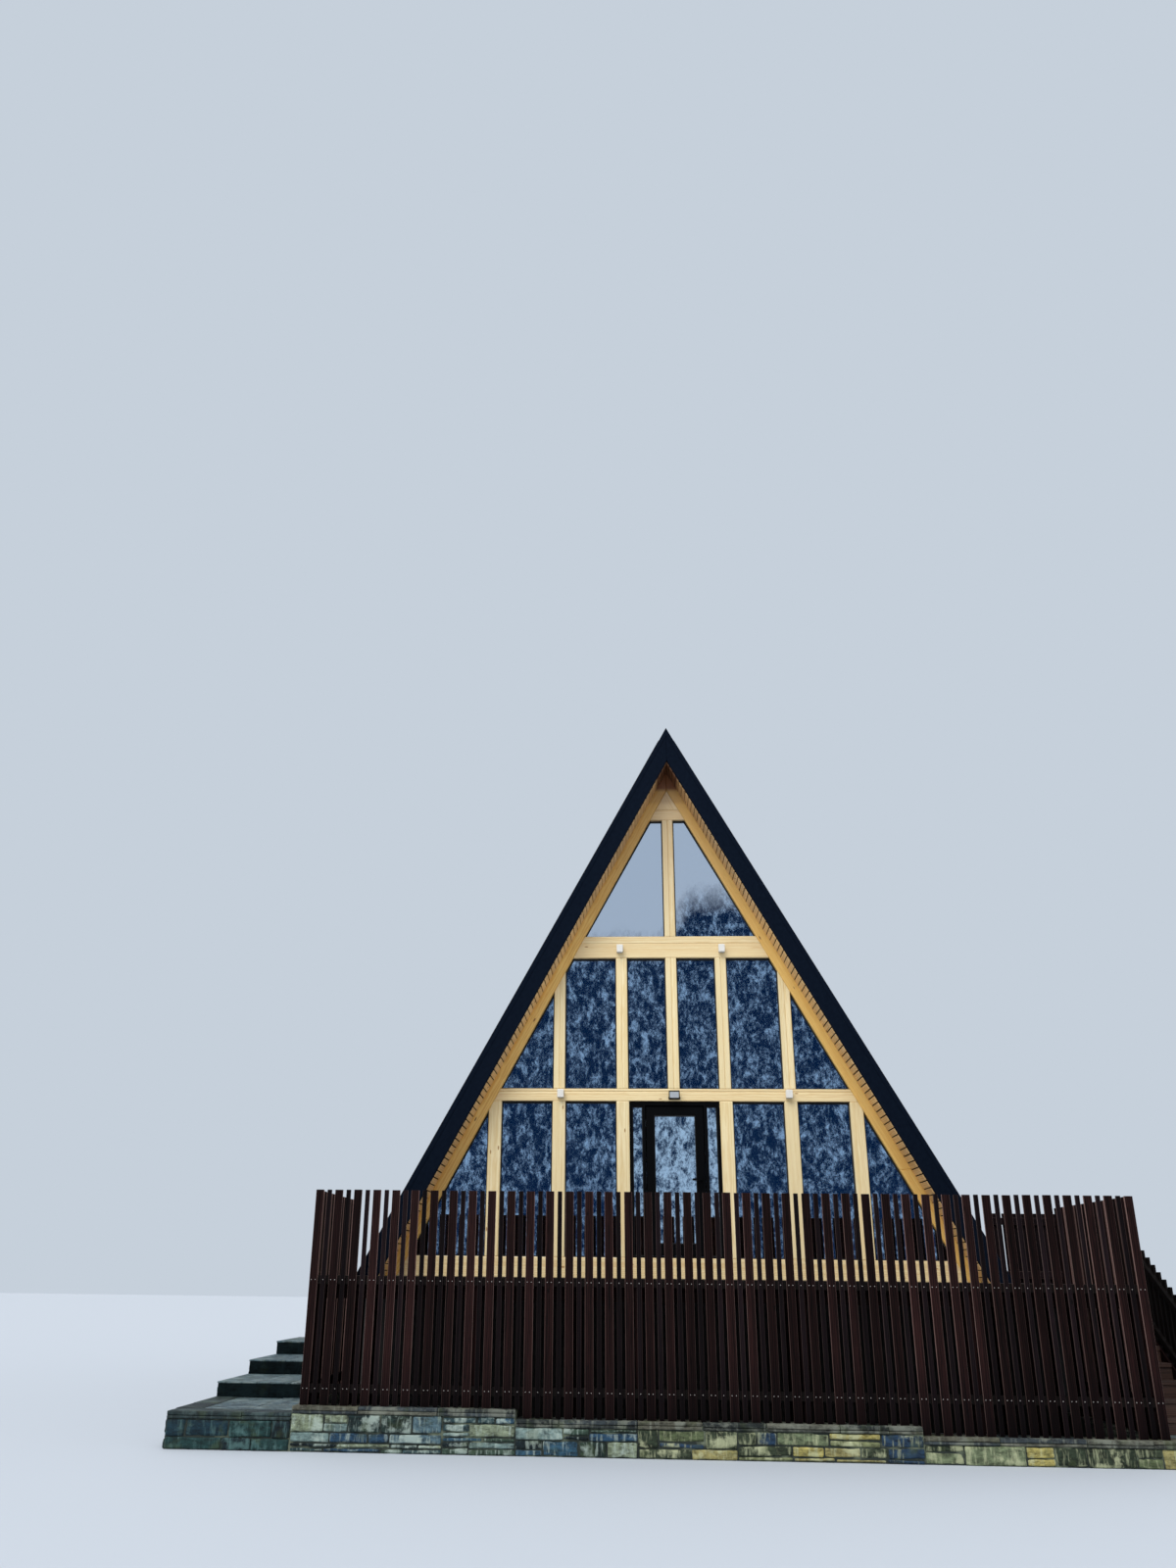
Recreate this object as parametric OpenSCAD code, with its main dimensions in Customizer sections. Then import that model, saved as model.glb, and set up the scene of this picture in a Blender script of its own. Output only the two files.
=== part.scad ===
// A-frame cabin with a raised front terrace, a slatted screen and a stone plinth.
// Millimetres. +Z is up, -Y is the glazed front, X runs along the front.
// The origin is on the ground, on the cabin's axis, under the face of the front frame.

/* [Cabin] */
// Height of the terrace floor above the ground
deck_top = 1750; // [1200:10:2400]
// Half width of the roof's outer face at terrace height
roof_half = 4232; // [3400:1:5000]
// Run over rise of the roof's slope
roof_run = 0.5418; // [0.45:0.0001:0.7]
// Thickness of the roof, square to its slope, covering and verge board with it
roof_thick = 245; // [180:1:320]
// Thickness of the covering alone
cover_thick = 40; // [20:1:60]
// Length of the cabin from the front frame's face to the back frame's face
cabin_length = 9600; // [7000:10:12000]
// How far the roof runs past both frames
overhang = 440; // [200:5:900]
// How far the roof's feet run below the terrace floor
eaves_drop = 100; // [0:5:300]
// Thickness of the foundation walls
foundation_thick = 250; // [150:5:400]
// How far the foundation stands in front of the gable frames
foundation_proud = 45; // [20:1:90]
// Thickness of the ground floor
floor_thick = 230; // [150:5:300]
// Half width of the ridge cap at its lower edges
cap_half = 136; // [100:1:200]

/* [Frames] */
// Depth of the frame timbers, front to back
frame_depth = 160; // [100:5:240]
// Width of a gable rafter, square to its slope
rafter_wide = 150; // [100:1:220]
// Distance of the inner posts' centre lines from the axis
post_1 = 719; // [600:1:900]
// Distance of the middle posts' centre lines from the axis
post_2 = 1614; // [1200:1:1900]
// Distance of the outer posts' centre lines from the axis
post_3 = 2511; // [2100:1:2900]
// Width of the lower posts
post_low = 180; // [120:1:220]
// Width of the upper posts
post_up = 160; // [100:1:200]
// Height of the sill beam
sill_high = 260; // [150:5:300]
// Underside of the lower beam above the terrace floor
lower_at = 2305; // [2100:5:2600]
// Height of the lower beam
lower_high = 170; // [120:5:260]
// Underside of the upper beam above the terrace floor
upper_at = 4350; // [4000:5:4800]
// Height of the upper beam
upper_high = 320; // [200:5:400]
// Underside of the collar above the terrace floor
collar_at = 6495; // [6000:5:6600]
// Thickness of the window glass
glass_thick = 24; // [16:1:44]
// Face of the glass behind the frame's face
glass_in = 68; // [30:1:100]

/* [Door] */
// Width of the outer jambs
jamb_wide = 44; // [30:1:80]
// Half width of the door leaf
leaf_half = 400; // [350:1:420]
// Gap between the leaf and its frame
leaf_gap = 6; // [5:1:10]
// Width of the bars between the leaf and the side lights
bar_wide = 40; // [30:1:60]
// Height of the head bar
head_high = 58; // [40:1:90]
// Height of the threshold on the sill beam
threshold_high = 24; // [15:1:40]
// Width of the leaf's stiles and top rail
stile_wide = 115; // [80:1:130]
// Height of the leaf's bottom rail
kick_high = 150; // [100:5:250]
// Thickness of the leaf
leaf_thick = 62; // [44:1:80]
// Radius of the hinge barrels
hinge_r = 10; // [8:0.5:14]
// Radius of the hinge pins
pin_r = 6; // [4:0.5:8]
// Length of half a hinge barrel
hinge_half = 50; // [40:1:70]

/* [Terrace] */
// How far the screen runs past the roof's left foot
screen_past_left = 18; // [0:1:300]
// How far the screen runs past the roof's right foot
screen_past_right = 710; // [500:5:1200]
// Width of a wide board
board_wide = 90; // [70:1:110]
// Width of a narrow board
batten_wide = 50; // [35:1:70]
// Gap between boards
board_gap = 41; // [25:1:60]
// Thickness of a board
board_thick = 25; // [18:1:35]
// Face of the front screen in front of the cabin's frame
terrace_deep = 2890; // [2000:10:4000]
// Top of the screen above the terrace floor
screen_high = 920; // [850:5:1200]
// Top of the left length of plinth wall above the ground
wall_top_1 = 430; // [200:5:600]
// Top of the middle length
wall_top_2 = 340; // [200:5:600]
// Top of the right length
wall_top_3 = 250; // [150:5:600]
// Where the wall first steps down
wall_step_1 = -1880; // [-2200:5:-1500]
// Where the wall steps down again
wall_step_2 = 2400; // [2000:5:2800]
// Thickness of the plinth wall
wall_thick = 350; // [250:5:450]
// How far the plinth wall stands in front of the screen
wall_proud = 60; // [20:5:120]
// Thickness of the walls under the terrace's two sides
return_thick = 300; // [200:5:450]
// Thickness of the screen's rails
rail_thick = 45; // [30:1:70]
// Height of the rails
rail_high = 90; // [60:1:140]
// Width of the screen's posts
screen_post = 90; // [70:1:120]
// Deck board thickness
deck_thick = 40; // [25:1:50]
// Width of the wooden stair
stair_wide = 690; // [600:10:1300]
// Going of the wooden stair
tread_run = 265; // [230:1:320]
// Number of risers of the wooden stair
riser_count = 9; // [8:1:10]
// Top of the stair's guard above the terrace floor
guard_high = 890; // [850:5:1200]
// Depth of the floor behind the stair's head
head_deep = 800; // [700:10:1200]

/* [Left steps] */
// Width of the stone landing and steps
step_wide = 1370; // [1000:10:1800]
// Height of the landing above the ground
landing_high = 360; // [250:5:450]
// Rise of each stone step
step_rise = 168; // [140:1:190]
// Depth of the landing
landing_deep = 1720; // [1200:10:2200]
// Depth of each stone step
step_deep = 1280; // [900:10:1500]
// How far the stone under the wooden stair's foot runs in from the plinth wall
foot_deep = 600; // [500:10:1200]

/* [Lamps] */
// Width of a wall lamp
lamp_wide = 92; // [60:1:140]
// How far a wall lamp stands out
lamp_deep = 95; // [60:1:140]
// Height of a wall lamp
lamp_high = 118; // [80:1:200]
// Width of the floodlight
flood_wide = 160; // [100:1:260]

/* [Hidden] */

roof_cos = 1 / sqrt(1 + roof_run * roof_run);
roof_flat = roof_thick / roof_cos;
cover_flat = cover_thick / roof_cos;
rafter_flat = rafter_wide / roof_cos;
inner_half = roof_half - roof_flat;
clear_half = inner_half - rafter_flat;
seat = 0.3;
low_inner = post_1 - post_low / 2;
pair = board_wide + batten_wide + 2 * board_gap;
screen_left_x = -roof_half - screen_past_left;
board_count = round((2 * roof_half + screen_past_left + screen_past_right + pair - board_wide) / pair);
screen_right_x = screen_left_x + board_count * pair - batten_wide - 2 * board_gap;
front_y = -terrace_deep;
rail_y = front_y + board_thick;
post_y = rail_y + rail_thick;
post_ends = [screen_left_x + board_thick + rail_thick, screen_right_x - board_thick - rail_thick];
post_step = (post_ends[1] - post_ends[0] - screen_post) / 5;
beam_wide = 80;
beam_high = 200;
wall_y = front_y - wall_proud;
return_y = -overhang - 20;
beam_y = [post_y + screen_post, (front_y + return_y - beam_wide) / 2, return_y - 220];
foundation_half = inner_half - 3;
foundation_in = foundation_half - foundation_thick;
deck_half = foundation_half - 20;
deck_bay = deck_half / 3;
loft_low = lower_at + 10;
loft_top = lower_at + lower_high;
stair_top_y = -240;
head_y = stair_top_y + head_deep;
side_x = roof_half + 68;
stair_x = screen_right_x;
guard_x = stair_x + stair_wide;
stair_foot_y = stair_top_y - (riser_count - 1) * tread_run;
riser = (deck_top - wall_top_3) / riser_count;
landing_end_x = guard_x + 2 * wall_proud;
step_right_x = screen_left_x - wall_proud;
step_left_x = step_right_x - step_wide;
string_deep = 330;
string_thick = 50;
tread_thick = 45;
riser_thick = 20;
nosing = 15;
tie_in = 380;
pine = [0.90, 0.77, 0.50];
dark = [0.05, 0.06, 0.08];
brown = [0.20, 0.13, 0.11];
stone = [0.45, 0.47, 0.43];
pane = [0.20, 0.30, 0.42];

// A flat shape in X and Z above the terrace floor, pulled from y to y + deep.
module upright(points, y, deep) {
  translate([0, y + deep, deck_top])
    rotate([90, 0, 0])
      linear_extrude(height = deep)
        polygon(points);
}

// A leaning strip of the roof's slope: from half width a to half width b at terrace height.
module slope_strip(a, b, low, y, deep, side, cut) {
  upright([[side * (a - roof_run * low), low], [side * (b - roof_run * low), low],
    [side * cut, (b - cut) / roof_run], [side * cut, (a - cut) / roof_run]], y, deep);
}

// A bar between the two gable rafters.
module between_rafters(low, high, y, deep) {
  half = clear_half - seat;
  upright([[-(half - roof_run * low), low], [half - roof_run * low, low],
    [half - roof_run * high, high], [-(half - roof_run * high), high]], y, deep);
}

module block(x0, x1, y0, y1, z0, z1) {
  translate([x0, y0, z0]) cube([x1 - x0, y1 - y0, z1 - z0]);
}

module stone_wall_left() {
  color(stone) block(step_left_x, wall_step_1, wall_y, wall_y + wall_thick, 0, landing_high);
  color(stone) block(step_right_x, wall_step_1, wall_y, wall_y + wall_thick, landing_high, wall_top_1);
}

module stone_wall_middle() {
  color(stone) block(wall_step_1, wall_step_2, wall_y, wall_y + wall_thick, 0, wall_top_2);
}

module stone_wall_right() {
  color(stone) block(wall_step_2, landing_end_x, wall_y, wall_y + wall_thick, 0, wall_top_3);
}

// Low walls under the two sides of the terrace.
module stone_returns() {
  color(stone) block(step_right_x, step_right_x + return_thick,
    wall_y + wall_thick, -foundation_proud, 0, wall_top_1);
  color(stone) block(screen_right_x + wall_proud - return_thick, screen_right_x + wall_proud,
    wall_y + wall_thick, -foundation_proud, 0, wall_top_3);
}

module stone_landings() {
  color(stone) block(step_left_x, step_right_x, wall_y + wall_thick, wall_y + landing_deep, 0, landing_high);
  color(stone) block(screen_right_x + wall_proud, landing_end_x,
    wall_y + wall_thick, wall_y + wall_thick + foot_deep, 0, wall_top_3);
}

// The three steps that rise beside the terrace, one block of masonry.
module stone_steps() {
  y = wall_y + landing_deep;
  far = y + 3 * step_deep;
  color(stone) translate([step_left_x, 0, 0])
    rotate([90, 0, 90])
      linear_extrude(height = step_right_x - step_left_x)
        polygon([[y, 0], for (n = [0:2]) each [[y + n * step_deep, landing_high + (n + 1) * step_rise],
          [y + (n + 1) * step_deep, landing_high + (n + 1) * step_rise]], [far, 0]]);
}

// The end walls, and two wings of the front one that close the space under the terrace.
module foundation_ends() {
  for (y = [-foundation_proud, cabin_length + foundation_proud - foundation_thick])
    color(stone) block(-foundation_in, foundation_in, y, y + foundation_thick, 0, deck_top);
  for (x = [[step_right_x, -foundation_half], [foundation_half, guard_x]])
    color(stone) block(x[0], x[1], -foundation_proud, foundation_thick - foundation_proud,
      0, beam_top - beam_high);
}

module foundation_sides() {
  for (side = [-1, 1])
    color(stone) block(min(side * foundation_in, side * foundation_half),
      max(side * foundation_in, side * foundation_half),
      -foundation_proud, cabin_length + foundation_proud, 0, deck_top);
}

// A floor from roof to roof and from frame to frame, between two heights above the terrace.
module floor_plate(low, high) {
  half = inner_half - seat;
  upright([[-(half - roof_run * low), low], [half - roof_run * low, low],
    [half - roof_run * high, high], [-(half - roof_run * high), high]],
    frame_depth, cabin_length - 2 * frame_depth);
}

module cabin_floor() {
  color(pine) floor_plate(0, floor_thick);
}

module loft_floor() {
  color(pine) floor_plate(loft_low, loft_top);
}

module roof_slab(side) {
  slope_strip(inner_half, roof_half - cover_flat, -eaves_drop, 40 - overhang,
    cabin_length + 2 * overhang - 80, side, 0);
}

module roof_cover(side) {
  slope_strip(roof_half - cover_flat, roof_half, -eaves_drop, 40 - overhang,
    cabin_length + 2 * overhang - 80, side, 0);
}

module roof_left() { color(pine) roof_slab(-1); }
module roof_right() { color(pine) roof_slab(1); }
module roof_cover_left() { color(dark) roof_cover(-1); }
module roof_cover_right() { color(dark) roof_cover(1); }

// The folded cap over the ridge.
module ridge_cap() {
  top = roof_half / roof_run;
  inner = cap_half - 6;
  low = top - inner / roof_run;
  color(dark) upright([[0, top], [inner, low], [cap_half, low + 12], [0, top + 30],
    [-cap_half, low + 12], [-inner, low]], -overhang, cabin_length + 2 * overhang);
}

module verge(y) {
  for (side = [-1, 1])
    slope_strip(inner_half, roof_half, -eaves_drop, y, 40, side, 1);
}

module verge_front() { color(dark) verge(-overhang); }
module verge_back() { color(dark) verge(cabin_length + overhang - 40); }

module gable_rafters(y) {
  for (side = [-1, 1])
    slope_strip(clear_half, inner_half, 0, y, frame_depth, side, 1);
}

// Sill, lower beam, upper beam and collar of a gable frame.
module gable_beams(y) {
  between_rafters(0, sill_high, y, frame_depth);
  between_rafters(lower_at, lower_at + lower_high, y, frame_depth);
  between_rafters(upper_at, upper_at + upper_high, y, frame_depth);
  half = clear_half - seat;
  upright([[-(half - roof_run * collar_at), collar_at], [half - roof_run * collar_at, collar_at],
    [0, half / roof_run]], y, frame_depth);
}

module post_bars(y, deep) {
  for (x = [-post_3, -post_2, -post_1, post_1, post_2, post_3])
    block(x - post_low / 2, x + post_low / 2, y, y + deep, deck_top + sill_high, deck_top + lower_at);
  for (x = [-post_2, -post_1, 0, post_1, post_2])
    block(x - post_up / 2, x + post_up / 2, y, y + deep,
      deck_top + lower_at + lower_high, deck_top + upper_at);
  block(-post_up / 2, post_up / 2, y, y + deep, deck_top + upper_at + upper_high, deck_top + collar_at);
}

module gable_posts(y) {
  intersection() {
    post_bars(y, frame_depth);
    between_rafters(0, collar_at, y, frame_depth);
  }
}

// One row of panes: the shape between the rafters, less the posts.
module glass_row(low, high, y) {
  difference() {
    between_rafters(low, high, y, glass_thick);
    translate([0, -10, 0]) post_bars(y, glass_thick + 20);
  }
}

module front_rafters() { color(pine) gable_rafters(0); }
module front_beams() { color(pine) gable_beams(0); }
module front_posts() { color(pine) gable_posts(0); }

module front_glass() {
  color(pane) difference() {
    glass_row(sill_high, lower_at, glass_in);
    block(-low_inner, low_inner, -100, 400, 0, deck_top + lower_at + 1);
  }
  color(pane) glass_row(lower_at + lower_high, upper_at, glass_in);
  color(pane) glass_row(upper_at + upper_high, collar_at, glass_in);
}

module back_rafters() { color(pine) gable_rafters(cabin_length - frame_depth); }
module back_beams() { color(pine) gable_beams(cabin_length - frame_depth); }
module back_posts() { color(pine) gable_posts(cabin_length - frame_depth); }

module back_glass() {
  y = cabin_length - glass_in - glass_thick;
  color(pane) glass_row(sill_high, lower_at, y);
  color(pane) glass_row(lower_at + lower_high, upper_at, y);
  color(pane) glass_row(upper_at + upper_high, collar_at, y);
}

door_low = deck_top + sill_high;
door_top = deck_top + lower_at;
leaf_low = door_low + threshold_high + leaf_gap;
leaf_top = door_top - head_high - leaf_gap;
bar_in = leaf_half + leaf_gap;
frame_in = 30;
leaf_y = 50;
leaf_in = leaf_y + leaf_thick;
hinge_x = -leaf_half - leaf_gap / 2;
hinge_y = leaf_in + hinge_r + 2;

// Outer jambs and the bars beside the leaf.
module door_jambs() {
  for (side = [-1, 1]) {
    color(dark) block(side > 0 ? low_inner - jamb_wide : -low_inner,
      side > 0 ? low_inner : -low_inner + jamb_wide,
      frame_in, leaf_in, door_low + threshold_high, door_top - head_high);
    color(dark) block(side > 0 ? bar_in : -bar_in - bar_wide, side > 0 ? bar_in + bar_wide : -bar_in,
      frame_in, leaf_in, door_low + threshold_high, door_top - head_high);
  }
}

module door_rails() {
  color(dark) block(-low_inner, low_inner, frame_in, leaf_in, door_low, door_low + threshold_high);
  color(dark) block(-low_inner, low_inner, frame_in, leaf_in, door_top - head_high, door_top);
}

module sidelight_glass() {
  for (side = [-1, 1])
    color(pane) block(side > 0 ? bar_in + bar_wide : -low_inner + jamb_wide,
      side > 0 ? low_inner - jamb_wide : -bar_in - bar_wide,
      glass_in, glass_in + glass_thick, door_low + threshold_high, door_top - head_high);
}

module door_leaf() {
  color(dark) difference() {
    block(-leaf_half, leaf_half, leaf_y, leaf_y + leaf_thick, leaf_low, leaf_top);
    block(-leaf_half + stile_wide, leaf_half - stile_wide, leaf_y - 10, leaf_y + leaf_thick + 10,
      leaf_low + kick_high, leaf_top - stile_wide);
  }
}

module door_glass() {
  color(pane) block(-leaf_half + stile_wide, leaf_half - stile_wide, leaf_y + 19, leaf_y + 19 + glass_thick,
    leaf_low + kick_high, leaf_top - stile_wide);
}

hinge_at = [leaf_low + 220, (leaf_low + leaf_top) / 2, leaf_top - 220];

// The frame's half of each lift-off hinge: a plate, half a barrel and the pin.
module door_hinges() {
  for (z = hinge_at)
    color([0.6, 0.6, 0.6]) {
      translate([hinge_x, hinge_y, z - hinge_half]) cylinder(h = hinge_half, r = hinge_r, $fn = 32);
      translate([hinge_x, hinge_y, z]) cylinder(h = hinge_half - 8, r = pin_r, $fn = 32);
      block(hinge_x - 34, hinge_x, leaf_in, leaf_in + 4, z - hinge_half, z);
    }
}

// The leaf's half: a plate and a barrel bored for the pin.
module leaf_hinges() {
  for (z = hinge_at)
    color([0.6, 0.6, 0.6]) difference() {
      union() {
        translate([hinge_x, hinge_y, z + 0.3]) cylinder(h = hinge_half, r = hinge_r, $fn = 32);
        block(hinge_x, hinge_x + 34, leaf_in, leaf_in + 4, z + 0.3, z + 0.3 + hinge_half);
      }
      translate([hinge_x, hinge_y, z - 1]) cylinder(h = hinge_half - 2, r = pin_r + 0.3, $fn = 32);
    }
}

// Lever handles on both faces of the leaf.
module door_handle() {
  x = leaf_half - 55;
  z = door_low + 1010;
  color([0.7, 0.7, 0.7]) {
    block(x - 17, x + 17, leaf_y - 8, leaf_y, z - 110, z + 50);
    translate([x, leaf_y - 6, z]) rotate([90, 0, 0]) cylinder(h = 40, r = 10, $fn = 24);
    block(x - 120, x + 10, leaf_y - 58, leaf_y - 44, z - 10, z + 10);
    block(x - 17, x + 17, leaf_y + leaf_thick, leaf_y + leaf_thick + 8, z - 110, z + 50);
    translate([x, leaf_y + leaf_thick + 46, z]) rotate([90, 0, 0]) cylinder(h = 40, r = 10, $fn = 24);
    block(x - 120, x + 10, leaf_y + leaf_thick + 44, leaf_y + leaf_thick + 58, z - 10, z + 10);
  }
}

beam_top = deck_top - deck_thick;

function foot(x) = x < wall_step_1 ? wall_top_1 : (x < wall_step_2 ? wall_top_2 : wall_top_3);

// Posts behind the screen, from the plinth wall and its returns up to the floor boards.
module screen_posts() {
  for (n = [0:5])
    let (x = post_ends[0] + n * post_step)
      block(x, x + screen_post, post_y, post_y + screen_post, foot(x + screen_post), beam_top);
  block(post_ends[0], post_ends[0] + screen_post, return_y - screen_post, return_y, wall_top_1, beam_top);
  block(post_ends[1] - screen_post, post_ends[1], return_y - screen_post, return_y, wall_top_3, beam_top);
}

module deck_posts() {
  color(brown) screen_posts();
  for (x = [-3, -1, 1, 3] * deck_bay)
    for (y = [beam_y[1], beam_y[2]])
      color(brown) block(x - 60, x + 60, y - 20, y + 100, 0, beam_top - beam_high);
  for (y = [stair_top_y, head_y - beam_wide])
    for (x = [stair_x - tie_in, guard_x - 120])
      color(brown) block(x, x + 120, y, y + beam_wide, 0, beam_top - beam_high);
}

module deck_beams() {
  for (y = beam_y)
    color(brown) block(post_ends[0] + screen_post, post_ends[1] - screen_post - 30, y, y + beam_wide,
      beam_top - beam_high, beam_top);
  for (y = [stair_top_y, head_y - beam_wide])
    color(brown) block(stair_x - tie_in, guard_x, y, y + beam_wide, beam_top - beam_high, beam_top);
}

// Boarding of the terrace, with the strip between the roof's feet and the floor at the stair's head.
module deck_boards() {
  color(brown) {
    block(post_ends[0], post_ends[1], post_y, return_y, beam_top, deck_top);
    block(-deck_half, deck_half, return_y, -foundation_proud, beam_top, deck_top);
    block(side_x, post_ends[1], return_y, stair_top_y, beam_top, deck_top);
    block(side_x, guard_x, stair_top_y, head_y, beam_top, deck_top);
  }
}

// The front screen: wide and narrow boards by turns on two rails. Above the floor they stand free.
module screen_front() {
  color(brown) {
    for (n = [0:board_count - 1])
      let (x = screen_left_x + n * pair)
        block(x, x + board_wide, front_y, rail_y, max(foot(x), foot(x + board_wide)), deck_top + screen_high);
    for (n = [0:board_count - 2])
      let (x = screen_left_x + n * pair + board_wide + board_gap)
        block(x, x + batten_wide, front_y, rail_y,
          max(foot(x), foot(x + batten_wide)), deck_top + screen_high);
    for (z = rail_at)
      block(screen_left_x, screen_right_x, rail_y, post_y, z, z + rail_high);
  }
}

rail_at = [wall_top_1 + 130, deck_top - rail_high];

// A side screen: boards on the outer face of two rails, along Y.
module side_screen(x, side, y0, y1, low) {
  face = side > 0 ? x - board_thick : x;
  rail = side > 0 ? x - board_thick - rail_thick : x + board_thick;
  count = floor((y1 - y0 + board_gap) / (board_wide + board_gap));
  step = (y1 - y0 - board_wide) / (count - 1);
  for (n = [0:count - 1])
    block(face, face + board_thick, y0 + n * step, y0 + n * step + board_wide, low, deck_top + screen_high);
  for (z = rail_at)
    block(rail, rail + rail_thick, y0, y1, z, z + rail_high);
}

module screen_left() {
  color(brown) side_screen(screen_left_x, -1, post_y, return_y, wall_top_1);
}

module screen_right() {
  color(brown) side_screen(screen_right_x, 1, post_y, stair_top_y, wall_top_3);
}

// Treads, and the upright boards that close the stair under each of them.
module stair_treads() {
  for (n = [1:riser_count - 1])
    color(brown) block(stair_x + string_thick, guard_x - string_thick, stair_top_y - n * tread_run - nosing,
      stair_top_y - (n - 1) * tread_run, deck_top - n * riser - tread_thick, deck_top - n * riser);
  for (n = [2:riser_count])
    let (y = stair_top_y - (n - 1) * tread_run + seat, low = deck_top - n * riser - tread_thick)
      color(brown) block(stair_x + string_thick, guard_x - string_thick, y, y + riser_thick,
        max(wall_top_3, low), low + riser - seat);
}

module stair_stringers() {
  front = stair_foot_y - 60;
  for (x = [stair_x, guard_x - string_thick])
    color(brown) translate([x, 0, 0])
      rotate([90, 0, 90])
        linear_extrude(height = string_thick)
          polygon([[stair_top_y, beam_top], [front, wall_top_3 + 130], [front, wall_top_3],
            [stair_foot_y + 160, wall_top_3], [stair_top_y, deck_top - string_deep]]);
}

stair_fall = riser / tread_run;

slat_step = board_wide + board_gap;
guard_rails = [deck_top + 60, deck_top + guard_high - rail_high - 60];
guard_end_x = roof_half + 98;
guard_count = floor((guard_x - guard_end_x - board_wide) / slat_step);
side_count = floor((head_y - beam_wide - stair_top_y + board_gap) / slat_step);
fall_count = ceil((stair_top_y - stair_foot_y) / slat_step);

// Level guards beside and behind the stair's head.
module head_balustrade() {
  top = deck_top + guard_high;
  side_end = head_y - beam_wide;
  color(brown) {
    for (n = [0:side_count - 1])
      let (y = side_end - (n + 1) * slat_step + board_gap)
        block(guard_x, guard_x + board_thick, y, y + board_wide, deck_top - string_deep, top);
    for (z = guard_rails)
      block(guard_x - rail_thick, guard_x, stair_top_y, side_end, z, z + rail_high);
  }
  color(brown) {
    for (n = [0:guard_count])
      let (x = guard_end_x + n * slat_step)
        block(x, x + board_wide, head_y, head_y + board_thick, deck_top - 200, top);
    for (z = guard_rails)
      block(guard_end_x, guard_end_x + guard_count * slat_step + board_wide,
        head_y - rail_thick, head_y, z, z + rail_high);
  }
}

// The falling guard beside the stair.
module stair_balustrade() {
  run = stair_top_y - stair_foot_y;
  color(brown) {
    for (n = [0:fall_count - 1])
      let (y = stair_top_y - (n + 1) * slat_step + board_gap)
        block(guard_x, guard_x + board_thick, y, y + board_wide,
          max(wall_top_3, deck_top - string_deep + (y - stair_top_y) * stair_fall),
          deck_top + guard_high + (y + board_wide - stair_top_y) * stair_fall);
    for (z = guard_rails)
      translate([guard_x - rail_thick, 0, 0])
        rotate([90, 0, 90])
          linear_extrude(height = rail_thick)
            polygon([[stair_top_y, z], [stair_top_y, z + rail_high],
              [stair_foot_y, z + rail_high - run * stair_fall], [stair_foot_y, z - run * stair_fall]]);
  }
}

module lamp(x, z) {
  color([0.9, 0.9, 0.9]) block(x - lamp_wide / 2, x + lamp_wide / 2, -lamp_deep, 0, z, z + lamp_high);
}

// Two cube lamps on the upper beam and two on the lower, near the posts.
module wall_lamps() {
  for (side = [-1, 1]) {
    lamp(side * (post_1 + 21), deck_top + upper_at + 64);
    lamp(side * (post_2 - 24), deck_top + lower_at + 35);
  }
}

module floodlight() {
  z = deck_top + lower_at + 15;
  color(dark) block(-flood_wide / 2, flood_wide / 2, -120, 0, z, z + 120);
}

stone_wall_left();
stone_wall_middle();
stone_wall_right();
stone_returns();
stone_landings();
stone_steps();
foundation_ends();
foundation_sides();
cabin_floor();
loft_floor();
roof_left();
roof_right();
roof_cover_left();
roof_cover_right();
ridge_cap();
verge_front();
verge_back();
front_rafters();
front_beams();
front_posts();
front_glass();
door_jambs();
door_rails();
sidelight_glass();
door_leaf();
door_glass();
door_handle();
back_rafters();
back_beams();
door_hinges();
leaf_hinges();
back_posts();
back_glass();
deck_posts();
deck_beams();
deck_boards();
screen_front();
screen_left();
screen_right();
stair_treads();
stair_stringers();
stair_balustrade();
head_balustrade();
wall_lamps();
floodlight();
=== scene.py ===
# %% [markdown]
# A timber cabin that is all roof, with a glazed gable, a raised terrace and a slatted screen on a stone
# plinth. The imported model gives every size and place. This script dresses it: single boards, stones,
# seams, gaskets and the finish of each surface. Every length is in metres, +Z is up and the glazed front
# faces -Y.

# %% Load the frame
import math
import random

import bmesh
import bpy
from mathutils import Matrix, Vector


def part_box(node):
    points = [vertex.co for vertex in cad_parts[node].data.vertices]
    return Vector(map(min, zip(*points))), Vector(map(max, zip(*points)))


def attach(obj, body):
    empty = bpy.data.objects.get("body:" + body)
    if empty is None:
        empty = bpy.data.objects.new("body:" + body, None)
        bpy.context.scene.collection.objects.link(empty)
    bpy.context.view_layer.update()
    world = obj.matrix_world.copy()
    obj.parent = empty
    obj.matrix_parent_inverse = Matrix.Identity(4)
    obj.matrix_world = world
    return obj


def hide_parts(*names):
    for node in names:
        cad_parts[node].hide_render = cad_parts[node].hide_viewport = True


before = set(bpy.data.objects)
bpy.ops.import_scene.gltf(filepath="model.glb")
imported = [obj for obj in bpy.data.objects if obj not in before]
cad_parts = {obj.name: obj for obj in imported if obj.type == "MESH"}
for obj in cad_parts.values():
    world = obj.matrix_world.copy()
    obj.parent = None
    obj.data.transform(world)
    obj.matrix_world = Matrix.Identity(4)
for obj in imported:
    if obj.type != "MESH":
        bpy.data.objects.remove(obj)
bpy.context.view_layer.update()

# %% [markdown]
# Nearly every line of this cabin follows the roof. Two numbers from the frame describe it: the height of
# the ridge and the run of the slope. A function that gives the roof's half width at a height then places
# rafters, lining, seams and flashings, so that none of them needs a typed coordinate.

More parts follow.
